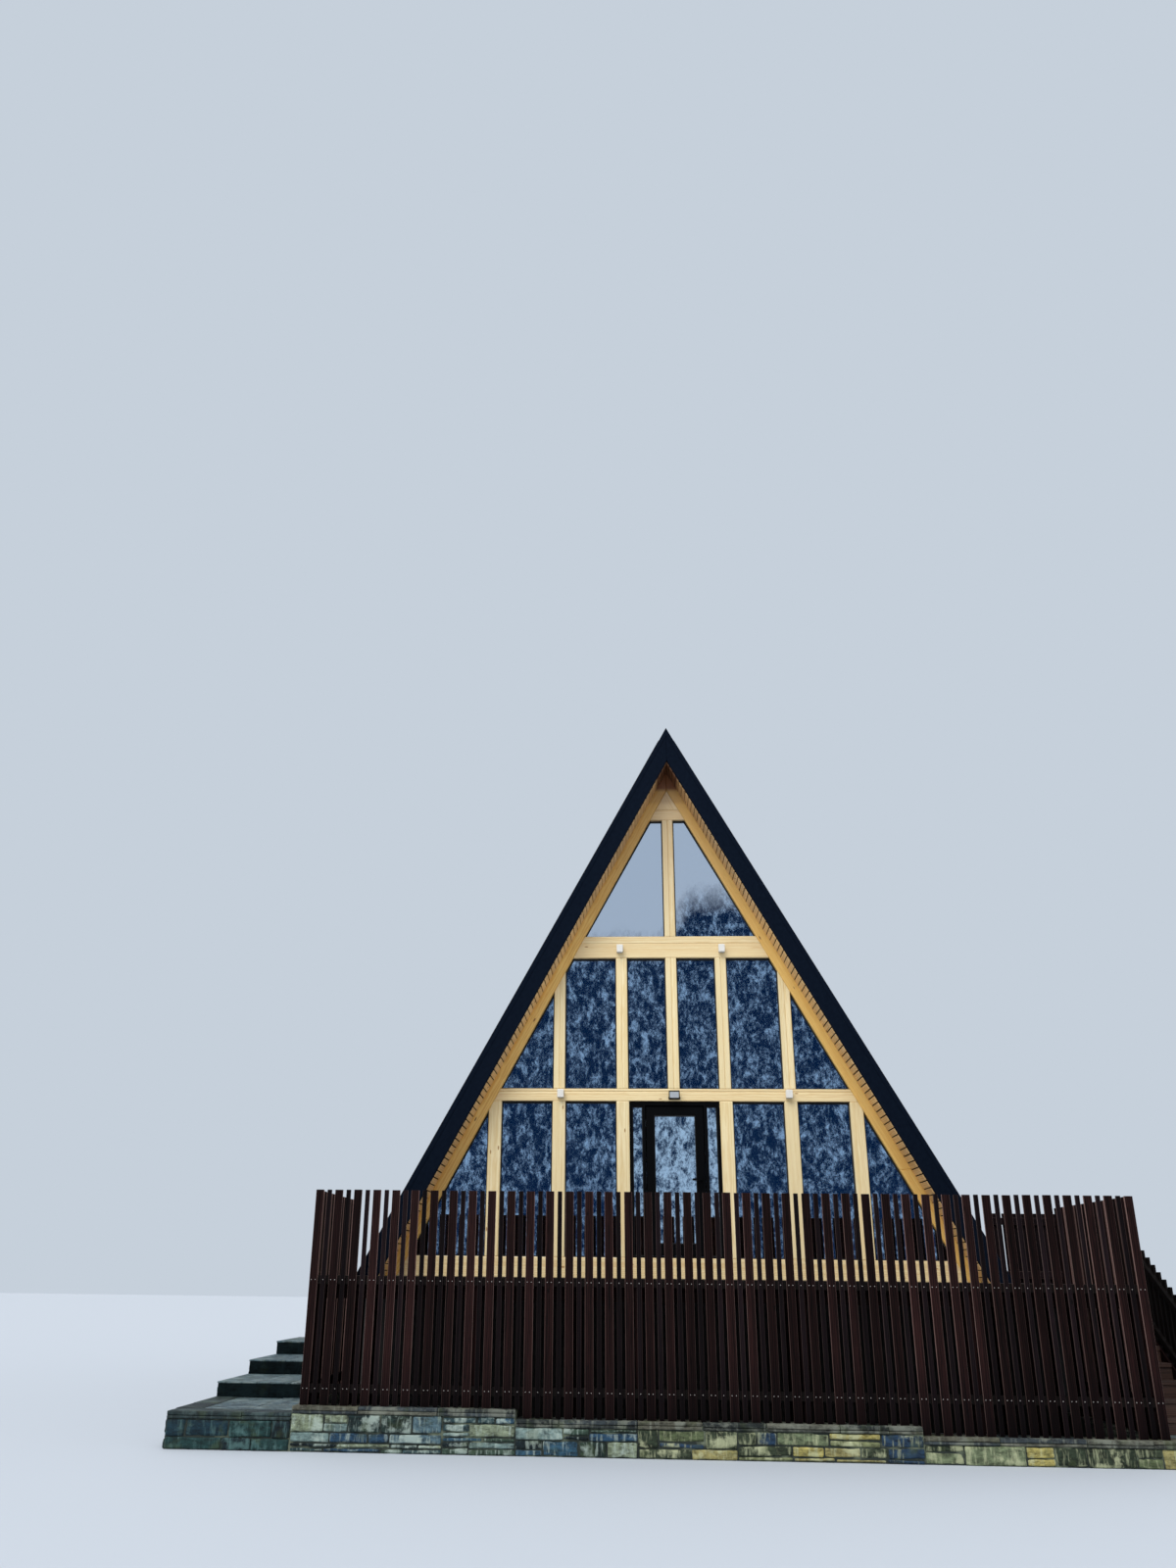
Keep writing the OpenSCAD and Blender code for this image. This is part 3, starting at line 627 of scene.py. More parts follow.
def dress(material, *node_names):
    """Gives its finish to each node of the frame that shows as it is."""
    for node_name in node_names:
        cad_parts[node_name].data.materials.clear()
        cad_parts[node_name].data.materials.append(material)


gaskets("front_glass", "front pane gaskets")
gaskets("back_glass", "back pane gaskets")
gaskets("sidelight_glass", "side light gaskets", wide=NARROW_GASKET)
gaskets("door_glass", "door pane gasket", body="door", wide=NARROW_GASKET)
dress(window_glass, "front_glass", "back_glass")
dress(door_pane, "sidelight_glass", "door_glass")

# %% [markdown]
# The door is a black metal frame with wide stiles. Its own shape is already right in the frame, so a copy
# with softly rounded edges stands for it. The lever handles are black too, as no bright one shows on the
# door, and their rounding has one more segment, because a hand meets them. Hinges are too small to need a
# copy.

# %% The door
eased("door_jambs", "door frame uprights", 0.003, door_black)
eased("door_rails", "door head and threshold", 0.003, door_black)
eased("door_leaf", "door leaf frame", 0.004, door_black, body="door")
eased("door_handle", "lever handles", 0.003, door_black, body="door", segments=3)
dress(steel, "door_hinges", "leaf_hinges")

# %% [markdown]
# Boards, rails, treads, flagstones and rubble are all blocks with eased edges that differ in size. A
# Geometry Nodes tree makes them all. Its input is a mesh of loose points, one at the middle of each
# block, with the block's size and turn as attributes. The tree puts a small gridded cube on each point
# and then places every vertex itself: faces go to the block's real size, and the outer rows are pulled in
# so that each edge gets the same rounding whether the block is a batten or a boulder. Scaling a bevelled
# cube would have stretched the bevel. A noise moves the vertices of stones, and stays at zero for sawn
# boards.

# %% The tree for blocks with eased edges
def new_tree(name, *sizes):
    """An empty Geometry Nodes tree. Returns it and its inputs: points, the named sizes and a material."""
    tree = bpy.data.node_groups.new(name, "GeometryNodeTree")
    for label, kind in (("Geometry", "Geometry"), *sizes, ("Material", "Material")):
        tree.interface.new_socket(label, in_out="INPUT", socket_type="NodeSocket" + kind)
    tree.interface.new_socket("Geometry", in_out="OUTPUT", socket_type="NodeSocketGeometry")
    return tree, add(tree, "NodeGroupInput", out=None).outputs


blocks, given = new_tree("eased blocks", ("Edge", "Float"), ("Rows", "Int"), ("Unevenness", "Float"),
                         ("Soft", "Bool"))
rows, edge = given["Rows"], given["Edge"]
cube = add(blocks, "GeometryNodeMeshCube", {"Vertices X": rows, "Vertices Y": rows, "Vertices Z": rows})
here = add(blocks, "GeometryNodeInputPosition")
cornered = add(blocks, "GeometryNodeStoreNamedAttribute",
               {"Geometry": cube, "Name": "corner", "Value": here}, data_type="FLOAT_VECTOR", domain="POINT")
spread = add(blocks, "GeometryNodeInstanceOnPoints", {"Points": given["Geometry"], "Instance": cornered})
real = add(blocks, "GeometryNodeRealizeInstances", {"Geometry": spread})
corner, size, turned, tone_in = [
    add(blocks, "GeometryNodeInputNamedAttribute", {"Name": name}, data_type=kind)
    for name, kind in (("corner", "FLOAT_VECTOR"), ("size", "FLOAT_VECTOR"), ("turn", "FLOAT_VECTOR"),
                       ("tone", "FLOAT"))]
print("inputs of the block tree:", [item.name for item in blocks.interface.items_tree])

# %% [markdown]
# Now the tree places every vertex. A vertex of the unit cube is known by its coordinates: outermost is 1
# on each axis where it lies on the outside. Two such axes make an edge and three a corner. There the
# vertex is pulled in by a share of the edge's width, 1 - 1/sqrt(2) on an edge and 1 - 1/sqrt(3) on a
# corner, which is how far a round lies inside a sharp one. All other rows are spread evenly between the
# two outer ones.

# %% Every vertex in its place
EDGE_PULL = 0.293
CORNER_PULL = 0.13
centre = add(blocks, "ShaderNodeVectorMath", {0: here, 1: corner}, operation="SUBTRACT")
reach = add(blocks, "ShaderNodeVectorMath", {0: corner}, operation="ABSOLUTE")
doubled = add(blocks, "ShaderNodeVectorMath", {0: reach, 1: (2.0, 2.0, 2.0), 2: (0.001, 0.001, 0.001)},
              operation="MULTIPLY_ADD")
outermost = add(blocks, "ShaderNodeVectorMath", {0: doubled}, operation="FLOOR")
how_many = add(blocks, "ShaderNodeVectorMath", {0: outermost, 1: (1.0, 1.0, 1.0)}, out=1,
               operation="DOT_PRODUCT")
on_edge = add(blocks, "ShaderNodeMath", {0: how_many, 1: 1.5}, operation="GREATER_THAN")
on_corner = add(blocks, "ShaderNodeMath", {0: how_many, 1: 2.5}, operation="GREATER_THAN")
edge_pull = add(blocks, "ShaderNodeMath", {0: on_edge, 1: EDGE_PULL}, operation="MULTIPLY")
pulled = add(blocks, "ShaderNodeMath", {0: on_corner, 1: CORNER_PULL, 2: edge_pull},
             operation="MULTIPLY_ADD")
half = add(blocks, "ShaderNodeVectorMath", {0: size, "Scale": 0.5}, operation="SCALE")
eased_by = add(blocks, "ShaderNodeMath", {0: edge, 1: pulled}, operation="MULTIPLY")
far = add(blocks, "ShaderNodeVectorMath", {0: half, 1: eased_by}, operation="SUBTRACT")
spans = add(blocks, "ShaderNodeMath", {0: rows, 1: 1.0}, operation="SUBTRACT")
inner_rows = add(blocks, "ShaderNodeMath", {0: rows, 1: 3.0}, operation="SUBTRACT")
half_inner = add(blocks, "ShaderNodeMath", {0: inner_rows, 1: 0.5}, operation="MULTIPLY")
rows_gap = add(blocks, "ShaderNodeMath", {0: spans, 1: half_inner}, operation="DIVIDE")
flat_half = add(blocks, "ShaderNodeVectorMath", {0: half, 1: edge}, operation="SUBTRACT")
row_share = add(blocks, "ShaderNodeVectorMath", {0: reach, 1: rows_gap}, operation="MULTIPLY")
near = add(blocks, "ShaderNodeVectorMath", {0: flat_half, 1: row_share}, operation="MULTIPLY")
beyond = add(blocks, "ShaderNodeVectorMath", {0: far, 1: near}, operation="SUBTRACT")
sized = add(blocks, "ShaderNodeVectorMath", {0: outermost, 1: beyond, 2: near}, operation="MULTIPLY_ADD")
signs = add(blocks, "ShaderNodeVectorMath", {0: corner}, operation="SIGN")
local = add(blocks, "ShaderNodeVectorMath", {0: sized, 1: signs}, operation="MULTIPLY")
print("a corner is pulled in by", round(EDGE_PULL + CORNER_PULL, 3), "of the edge's width")

# %% [markdown]
# The last part of the tree roughens, turns and places each block. A noise with a lump every 143 mm moves
# the vertices, and each block reads it at a place of its own, shifted by its tone, so no two stones are
# alike. The tree also stores what the finishes read: grain, which is the place in the block shifted by
# its tone, and flank, which is 1 on the two narrow sides.

# %% Lumps, turn and grain
LUMPS_PER_METRE = 7.0
STONES_APART, BOARDS_APART = (37.0, 53.0, 71.0), (7.3, 0.9, 1.3)
apart = add(blocks, "ShaderNodeVectorMath", {0: STONES_APART, 1: tone_in, 2: local},
            operation="MULTIPLY_ADD")
lumps = add(blocks, "ShaderNodeTexNoise", {"Vector": apart, "Scale": LUMPS_PER_METRE, "Detail": 3.0},
            out="Color")
offset = add(blocks, "ShaderNodeVectorMath", {0: lumps, 1: (0.5, 0.5, 0.5)}, operation="SUBTRACT")
moved = add(blocks, "ShaderNodeVectorMath", {0: offset, 1: given["Unevenness"], 2: local},
            operation="MULTIPLY_ADD")
facing = add(blocks, "ShaderNodeVectorRotate", {"Vector": moved, "Rotation": turned},
             rotation_type="EULER_XYZ")
placed = add(blocks, "ShaderNodeVectorMath", {0: centre, 1: facing}, operation="ADD")
settled = add(blocks, "GeometryNodeSetPosition", {"Geometry": real, "Position": placed})
shifted = add(blocks, "ShaderNodeVectorMath", {0: BOARDS_APART, 1: tone_in, 2: local},
              operation="MULTIPLY_ADD")
sides = add(blocks, "ShaderNodeSeparateXYZ", {0: size}, out=None).outputs
outside = add(blocks, "ShaderNodeSeparateXYZ", {0: outermost}, out=None).outputs
wider = add(blocks, "ShaderNodeMath", {0: sides[1], 1: sides[2]}, operation="GREATER_THAN")
swapped = add(blocks, "ShaderNodeMath", {0: outside[1], 1: outside[2]}, operation="SUBTRACT")
narrow_side = add(blocks, "ShaderNodeMath", {0: wider, 1: swapped, 2: outside[2]}, operation="MULTIPLY_ADD")
grained = add(blocks, "GeometryNodeStoreNamedAttribute",
              {"Geometry": settled, "Name": "grain", "Value": shifted}, data_type="FLOAT_VECTOR",
              domain="POINT")
# The flank mask marks the narrow sides, where the larch gets a painted highlight.
flanked = add(blocks, "GeometryNodeStoreNamedAttribute",
              {"Geometry": grained, "Name": "flank", "Value": narrow_side}, data_type="FLOAT",
              domain="POINT")
clean = add(blocks, "GeometryNodeSetShadeSmooth", {"Geometry": flanked, "Shade Smooth": given["Soft"]})
for spent in ("corner", "size", "turn"):
    clean = add(blocks, "GeometryNodeRemoveAttribute", {"Geometry": clean, "Name": spent})
coloured = add(blocks, "GeometryNodeSetMaterial", {"Geometry": clean, "Material": given["Material"]})
add(blocks, "NodeGroupOutput", {"Geometry": coloured}, out=None)
print("block tree:", len(blocks.nodes), "nodes")

# %% [markdown]
# Four helpers turn lists of boards into finished pieces. block() takes two opposite corners and the axis
# that the grain follows. sloped() takes a middle, two directions and a size, for things that lie on the
# roof or fall with the stair. mesh_of() runs a tree on loose points and keeps only the plain mesh. lay()
# does that for all blocks of one piece. A tree's inputs are set by their identifiers, as a modifier knows
# its inputs by those and not by their names.

# %% Laying blocks
def block(low, high, along="x", tone=None):
    """One eased block from two opposite corners, with its grain along an axis."""
    first = "xyz".index(along)
    order = [first, (first + 1) % 3, (first + 2) % 3]
    basis = Matrix([[1.0 if order[column] == row else 0.0 for column in range(3)] for row in range(3)])
    low, high = Vector(low), Vector(high)
    size = [abs(high[axis] - low[axis]) for axis in order]
    return (low + high) / 2, size, basis.to_euler(), chance.random() if tone is None else tone


def sloped(middle, along, across, size):
    """One eased block whose length runs along a direction and whose width lies across it."""
    along = Vector(along).normalized()
    up = along.cross(Vector(across)).normalized()
    basis = Matrix([along, up.cross(along), up]).transposed()
    return Vector(middle), size, basis.to_euler(), chance.random()


def mesh_of(tree, name, places, marks, **sizes):
    """The plain mesh that a tree makes from loose points, which carry marks such as their size or tone."""
    points = bpy.data.meshes.new(name + " points")
    points.from_pydata(places, [], [])
    for label, values in marks.items():
        if isinstance(values[0], float):
            points.attributes.new(label, "FLOAT", "POINT").data.foreach_set("value", values)
        else:
            flat = [part for value in values for part in value]
            points.attributes.new(label, "FLOAT_VECTOR", "POINT").data.foreach_set("vector", flat)
    carrier = bpy.data.objects.new(name + " carrier", points)
    bpy.context.scene.collection.objects.link(carrier)
    modifier = carrier.modifiers.new(name, "NODES")
    modifier.node_group = tree
    for item in tree.interface.items_tree:
        if item.in_out == "INPUT" and item.name in sizes:
            modifier[item.identifier] = sizes[item.name]
    graph = bpy.context.evaluated_depsgraph_get()
    graph.update()
    mesh = bpy.data.meshes.new_from_object(carrier.evaluated_get(graph))
    bpy.data.objects.remove(carrier)
    bpy.data.meshes.remove(points)
    return mesh


def lay(name, items, edge, material, slot, replaces=None, rows=4, uneven=0.0):
    """Builds all blocks of one piece with the tree."""
    places, sizes, turns, tones = zip(*items)
    marks = {"size": sizes, "turn": turns, "tone": tones}
    own(mesh_of(blocks, name, places, marks, Edge=edge, Rows=rows, Unevenness=uneven, Soft=uneven > 0,
                Material=material), name, replaces)


print("a block's middle, size, turn and tone:", block((0, 0, 0), (1, 2, 3), "z", tone=0.5))

# %% [markdown]
# Looking up under the overhang you see narrow pine boards that run the length of the roof, with a small
# groove at each joint. Where they meet the rafter the grooves make a row of little dark notches. The
# boards lie on the roof's inner face, 96 mm apart, and each has its own tone.

# %% Pine lining under the roof
LINING_WIDE = 0.096
LINING_GROOVE = 0.015
LINING_THICK = 0.012
LINING_SHORT = 0.002
SIDES = (("left", -1), ("right", 1))
roof_low, roof_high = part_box("roof_right")
inner_ridge_z = ridge_z - roof_inset / roof_run


def slope(sign, inset_by=0.0):
    """One face of the roof: its foot at the eaves, the way up it and the way out of it."""
    foot = Vector((sign * roof_x(eaves_z, inset_by), 0, eaves_z))
    return foot, Vector((-sign * roof_run, 0, 1)).normalized(), Vector((sign, 0, roof_run)).normalized()


for side, sign in SIDES:
    foot, up, out = slope(sign, roof_inset)
    whole = (inner_ridge_z - eaves_z) / up.z
    rows_up = round(whole / LINING_WIDE)
    lining_size = (roof_high.y - roof_low.y - LINING_SHORT, whole / rows_up - LINING_GROOVE, LINING_THICK)
    boards = []
    for index in range(rows_up):
        middle = foot + up * (index + 0.5) * whole / rows_up - out * LINING_THICK / 2
        middle.y = (roof_low.y + roof_high.y) / 2
        boards.append(sloped(middle, (0, 1, 0), up, lining_size))
    lay(f"{side} roof lining", boards, 0.004, pine_lining, "soffit_pine")
    dress(verge_paint, "roof_" + side)

# %% [markdown]
# The covering is made of long steel trays, folded together into upright seams about half a metre apart.
# Seams stand 25 mm high. A folded drip closes each eaves, and a narrow flashing covers the joint between
# the covering and the verge board. None of it shows much from the front, but from the side it is the
# whole building.

# %% Seams and drips
SEAM_STEP = 0.52
SEAM_HIGH = 0.025
SEAM_WIDE = 0.009
SEAM_END = 0.20
SEAM_EDGE = 0.012
FOLD_UP, FOLD_WIDE, SHEET_THICK = 0.42, 1.9, 0.006
DRIP_WIDE, DRIP_UP, DRIP_OUT = 0.07, 0.02, 0.004
roof_long = cover_high.y - cover_low.y
seam_count = round(roof_long / SEAM_STEP)
for side, sign in SIDES:
    foot, up, out = slope(sign)
    whole = (ridge_z - eaves_z) / up.z - SEAM_END
    folds = []
    for index in range(seam_count + 1):
        middle = foot + up * whole / 2 + out * SEAM_HIGH / 2
        middle.y = cover_low.y + SEAM_EDGE + index * (roof_long - 2 * SEAM_EDGE) / seam_count
        folds.append(sloped(middle, up, (0, 1, 0), (whole, SEAM_WIDE, SEAM_HIGH)))
        middle = middle + out * SEAM_HIGH * FOLD_UP
        folds.append(sloped(middle, up, (0, 1, 0), (whole, SEAM_WIDE * FOLD_WIDE, SHEET_THICK)))
    drip = foot + up * DRIP_UP + out * DRIP_OUT
    drip.y = (cover_low.y + cover_high.y) / 2
    folds.append(sloped(drip, (0, 1, 0), up, (roof_long, DRIP_WIDE, SHEET_THICK)))
    lay(f"{side} roof seams", folds, 0.002, sheet_steel, "roof_cover")
    dress(sheet_steel, "roof_cover_" + side)

# %% [markdown]
# The cap and the verge boards are the frame's own solids with eased edges. The flashing is a strip 63 mm
# wide on each slope that grips the verge board's face. Its four corners follow from the roof's line, so
# it is built face by face, which keeps it mitred at the ridge.

# %% Ridge cap, verge boards and flashings
FLASHING_PROUD, FLASHING_OVER = 0.008, 0.055
FLASHING_OUT, FLASHING_IN = 0.006, 0.004
eased("ridge_cap", "folded ridge cap", 0.003, sheet_steel)
for side in ("front", "back"):
    eased("verge_" + side, side + " verge boards", 0.004, verge_paint)
verge_front_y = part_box("verge_front")[0].y
verge_back_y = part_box("verge_back")[1].y
strips = bmesh.new()
for y_low, y_high in ((verge_front_y - FLASHING_OUT, verge_front_y + FLASHING_IN),
                      (verge_back_y - FLASHING_IN, verge_back_y + FLASHING_OUT)):
    for sign in (-1, 1):
        line = [(sign * roof_x(eaves_z, -FLASHING_PROUD), eaves_z),
                (sign * roof_x(eaves_z, FLASHING_OVER), eaves_z),
                (0, ridge_z - FLASHING_OVER / roof_run), (0, ridge_z + FLASHING_PROUD / roof_run)]
        loops = [[strips.verts.new((x, y, z)) for x, z in line] for y in (y_low, y_high)]
        strips.faces.new(loops[0])
        strips.faces.new(loops[1])
        for i in range(4):
            j = (i + 1) % 4
            strips.faces.new((loops[0][i], loops[0][j], loops[1][j], loops[1][i]))
bmesh.ops.recalc_face_normals(strips, faces=strips.faces)
hang(strips, "verge flashings", verge_paint)

# %% [markdown]
# The screen in front of the terrace is the darkest thing in view: wide and narrow larch boards by turns,
# nailed upright to two rails, stained almost black. Above the floor they stand free, and gaps of 41 mm
# let slices of the gable through. Their tops are cut by hand, so each ends a few millimetres off its
# neighbour.

# %% The slatted screen
BOARD_WIDE, BATTEN_WIDE = 0.090, 0.050
BOARD_GAP = 0.041
BOARD_THICK = 0.025
BOARD_EDGE = 0.003
BOARD_FOOT = 0.004
RAIL_THICK, RAIL_HIGH = 0.045, 0.090
LOW_RAIL_UP = 0.130
OUT_OF_LINE, TOP_SWING = 0.0015, 0.005
pair = BOARD_WIDE + BATTEN_WIDE + 2 * BOARD_GAP
board_count = round((screen_high.x - screen_low.x + BATTEN_WIDE + 2 * BOARD_GAP) / pair)
rail_face = screen_low.y + BOARD_THICK
post_face = rail_face + RAIL_THICK
rail_heights = [wall_tops[0] + LOW_RAIL_UP, deck_z - RAIL_HIGH]
left_end_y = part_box("screen_left")[1].y
right_end_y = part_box("screen_right")[1].y
screws = []


def foot_at(x):
    """Top of the plinth wall under a place along the screen."""
    return wall_tops[0] if x < wall_steps[0] else wall_tops[1] if x < wall_steps[1] else wall_tops[2]


def uneven_top(top):
    """A hand-cut top, up to 5 mm low."""
    return top - chance.uniform(0.0, TOP_SWING)


boards, battens = [], []
for index in range(2 * board_count - 1):
    wide, kept, nails = (BATTEN_WIDE, battens, (0.5,)) if index % 2 else (BOARD_WIDE, boards, (0.25, 0.75))
    x = screen_low.x + (index // 2) * pair + (index % 2) * (BOARD_WIDE + BOARD_GAP)
    lean = chance.uniform(-OUT_OF_LINE, OUT_OF_LINE)
    low_z = max(foot_at(x), foot_at(x + wide)) + BOARD_FOOT
    kept.append(block((x, screen_low.y + lean, low_z),
                      (x + wide, rail_face + lean, uneven_top(screen_high.z)), "z"))
    screws += [(Vector((x + wide * share, screen_low.y + lean, z + RAIL_HIGH / 2)), (0, -1, 0))
               for z in rail_heights for share in nails]
rails = [block((screen_low.x, rail_face, z), (screen_high.x, post_face, z + RAIL_HIGH))
         for z in rail_heights]
lay("front screen boards", boards, BOARD_EDGE, larch_boards, "stained_wood", "screen_front")
lay("front screen rails", rails, BOARD_EDGE, larch_rails, "stained_wood", "screen_front")
lay("front screen battens", battens, BOARD_EDGE, larch_battens, "stained_wood", "screen_front")

# %% [markdown]
# The two returns run back along the terrace's sides. They have wide boards only, so one function lays
# both. The boards stand on the outer face of the rails, and their step is worked out so that the last
# board ends where the return does, as a carpenter would divide it.

# %% The screen's returns
def side_screen(name, node_name, x, sign, y_high, low_z):
    """Boards on the outer face of two rails along a side of the terrace."""
    face = x - BOARD_THICK if sign > 0 else x
    rail = face - RAIL_THICK if sign > 0 else face + BOARD_THICK
    count = int((y_high - post_face + BOARD_GAP) / (BOARD_WIDE + BOARD_GAP) + 0.0001)
    step = (y_high - post_face - BOARD_WIDE) / (count - 1)
    uprights = []
    for index in range(count):
        y = post_face + index * step
        uprights.append(block((face, y, low_z + BOARD_FOOT),
                              (face + BOARD_THICK, y + BOARD_WIDE, uneven_top(screen_high.z)), "z"))
        for z in rail_heights:
            screws.append((Vector((x, y + BOARD_WIDE / 2, z + RAIL_HIGH / 2)), (sign, 0, 0)))
    held = [block((rail, post_face, z), (rail + RAIL_THICK, y_high, z + RAIL_HIGH), "y")
            for z in rail_heights]
    lay(name + " boards", uprights, BOARD_EDGE, larch_boards, "stained_wood", node_name)
    lay(name + " rails", held, BOARD_EDGE, larch_rails, "stained_wood", node_name)


side_screen("left screen", "screen_left", screen_low.x, -1, left_end_y, wall_tops[0])
side_screen("right screen", "screen_right", screen_high.x, 1, right_end_y, wall_tops[2])

# %% [markdown]
# The terrace floor is boarded from the screen towards the gable, with 5 mm gaps so that rain runs
# through. It is laid in five fields, as the deck narrows at the gable and reaches past the screen to the
# stair. The posts and beams under it are copies of the frame's own solids with planed edges.

# %% The terrace
PLANK_WIDE = 0.140
PLANK_GAP = 0.005
PLANK_SWING = 0.0015
NECK_IN, SIDE_IN = 0.023, 0.030
deck_low, deck_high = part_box("deck_boards")
head_low, head_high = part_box("head_balustrade")
main_right_x = screen_high.x - BOARD_THICK - RAIL_THICK
neck_half = inner_half - NECK_IN
neck_end_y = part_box("foundation_ends")[0].y
side_x = head_low.x - SIDE_IN
planks = []
for from_x, to_x, from_y, to_y in (
        (deck_low.x, -neck_half, post_face, left_end_y),
        (-neck_half, neck_half, post_face, neck_end_y),
        (neck_half, side_x, post_face, left_end_y),
        (side_x, main_right_x, post_face, deck_high.y),
        (main_right_x, deck_high.x, right_end_y, deck_high.y)):
    count = max(1, round((to_x - from_x) / (PLANK_WIDE + PLANK_GAP)))
    step = (to_x - from_x) / count
    for index in range(count):
        planks.append(block((from_x + index * step, from_y, deck_low.z),
                            (from_x + (index + 1) * step - PLANK_GAP, to_y,
                             deck_z - chance.uniform(0, PLANK_SWING)), "y"))
lay("terrace boards", planks, 0.004, deck_larch, "deck_wood", "deck_boards")
eased("deck_posts", "terrace posts", 0.004, larch_boards)
eased("deck_beams", "terrace beams", 0.004, larch_boards)

# %% [markdown]
# The wooden stair climbs beside the screen's return. Each tread is two planks with a gap between them,
# boards close the stair under it, and two sawn strings carry both.

# %% The stair
RISER_THICKEST = 0.1
TREAD_GAP = 0.006
flight = sorted(boxes("stair_treads"), key=lambda ends: ends[0].z)
treads = [(low, high) for low, high in flight if high.y - low.y > RISER_THICKEST]
planks = [block(low, high) for low, high in flight if high.y - low.y <= RISER_THICKEST]
for low, high in treads:
    middle_y = (low.y + high.y) / 2
    planks.append(block(low, (high.x, middle_y - TREAD_GAP / 2, high.z)))
    planks.append(block((low.x, middle_y + TREAD_GAP / 2, low.z), high))
lay("stair treads", planks, 0.005, deck_larch, "deck_wood", "stair_treads")
eased("stair_stringers", "stair strings", 0.004, larch_boards)

# %% [markdown]
# The guard's boards are upright like the screen's, but their tops and feet fall with the stair, and so do
# its rails. A box that was sheared would lean its boards as well, so each board gets its own height
# instead. The fall is measured from two treads, so the guard keeps to the stair if its rise changes.

# %% The falling guard
STRING_DEEP = 0.330
RAIL_IN = 0.060
GUARD_SHORT = 0.015
riser = treads[1][1].z - treads[0][1].z
going = treads[0][1].y - treads[1][1].y
stair_fall = riser / abs(going)
slat_step = BOARD_WIDE + BOARD_GAP
guard_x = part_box("stair_balustrade")[1].x - BOARD_THICK
stair_foot_y = treads[0][0].y + GUARD_SHORT
guard_top = head_high.z
guard_rails = [deck_z + RAIL_IN, guard_top - RAIL_HIGH - RAIL_IN]
slats = []
for index in range(math.ceil((right_end_y - stair_foot_y) / slat_step)):
    y = right_end_y - (index + 1) * slat_step + BOARD_GAP
    low_z = max(wall_tops[2] + BOARD_FOOT, deck_z - STRING_DEEP + (y - right_end_y) * stair_fall)
    high_z = guard_top + (y + BOARD_WIDE - right_end_y) * stair_fall
    slats.append(block((guard_x, y, low_z),
                       (guard_x + BOARD_THICK, y + BOARD_WIDE, uneven_top(high_z)), "z"))
    for z in guard_rails:
        level = z + RAIL_HIGH / 2 + (y + BOARD_WIDE / 2 - right_end_y) * stair_fall
        screws.append((Vector((guard_x + BOARD_THICK, y + BOARD_WIDE / 2, level)), (1, 0, 0)))
down_stair = Vector((0, -1, -stair_fall)).normalized()
run = right_end_y - stair_foot_y
for z in guard_rails:
    middle = Vector((guard_x - RAIL_THICK / 2, right_end_y - run / 2,
                     z + RAIL_HIGH / 2 - run * stair_fall / 2))
    slats.append(sloped(middle, down_stair, (1, 0, 0),
                        (run / abs(down_stair.y), RAIL_THICK, RAIL_HIGH * abs(down_stair.y))))
lay("falling stair guard", slats, BOARD_EDGE, larch_rails, "stained_wood", "stair_balustrade")

# %% [markdown]
# The level guard turns the corner behind the stair. Its side hangs below the floor as far as the strings
# do, so that the stair's flank looks closed, and its back only covers the edge of the boards. Its boards
# count back from the corner, where two whole ones have to meet.

# %% The level guards
BACK_LOW = 0.200
CORNER_SHORT = 0.080
back_y = deck_high.y
side_end_y = back_y - CORNER_SHORT
back_count = int((guard_x - head_low.x - BOARD_WIDE) / slat_step)
slats = []
for index in range(int((side_end_y - right_end_y + BOARD_GAP) / slat_step)):
    y = side_end_y - (index + 1) * slat_step + BOARD_GAP
    slats.append(block((guard_x, y, deck_z - STRING_DEEP),
                       (guard_x + BOARD_THICK, y + BOARD_WIDE, uneven_top(guard_top)), "z"))
for index in range(back_count + 1):
    x = head_low.x + index * slat_step
    slats.append(block((x, back_y, deck_z - BACK_LOW),
                       (x + BOARD_WIDE, back_y + BOARD_THICK, uneven_top(guard_top)), "z"))
for z in guard_rails:
    slats.append(block((guard_x - RAIL_THICK, right_end_y, z), (guard_x, side_end_y, z + RAIL_HIGH), "y"))
    slats.append(block((head_low.x, back_y - RAIL_THICK, z),
                       (head_low.x + back_count * slat_step + BOARD_WIDE, back_y, z + RAIL_HIGH)))
lay("level stair guards", slats, BOARD_EDGE, larch_battens, "stained_wood", "head_balustrade")

# %% [markdown]
# Two screws hold a wide board to each rail and one holds a batten. Several hundred screw heads are the
# kind of thing that Geometry Nodes were made for: a small domed disc on each point, turned to face
# outwards.

# %% Screw heads
HEAD_RADIUS, HEAD_HIGH, CROWN_SHARE = 0.0055, 0.003, 0.55
heads, given = new_tree("screw heads", ("Radius", "Float"), ("Height", "Float"))
crown = add(heads, "ShaderNodeMath", {0: given["Radius"], 1: CROWN_SHARE}, operation="MULTIPLY")
head = add(heads, "GeometryNodeMeshCone", {"Vertices": 10, "Radius Top": crown,
                                           "Radius Bottom": given["Radius"], "Depth": given["Height"]})
outward = add(heads, "GeometryNodeInputNamedAttribute", {"Name": "facing"}, data_type="FLOAT_VECTOR")
aimed = add(heads, "FunctionNodeAlignRotationToVector", {"Vector": outward}, axis="Z")
driven = add(heads, "GeometryNodeInstanceOnPoints",
             {"Points": given["Geometry"], "Instance": head, "Rotation": aimed})
real = add(heads, "GeometryNodeRealizeInstances", {"Geometry": driven})
coloured = add(heads, "GeometryNodeSetMaterial", {"Geometry": real, "Material": given["Material"]})
add(heads, "NodeGroupOutput", {"Geometry": coloured}, out=None)
places, facings = zip(*screws)
own(mesh_of(heads, "screw heads", places, {"facing": facings}, Radius=HEAD_RADIUS, Height=HEAD_HIGH,
            Material=zinc), "screw heads")

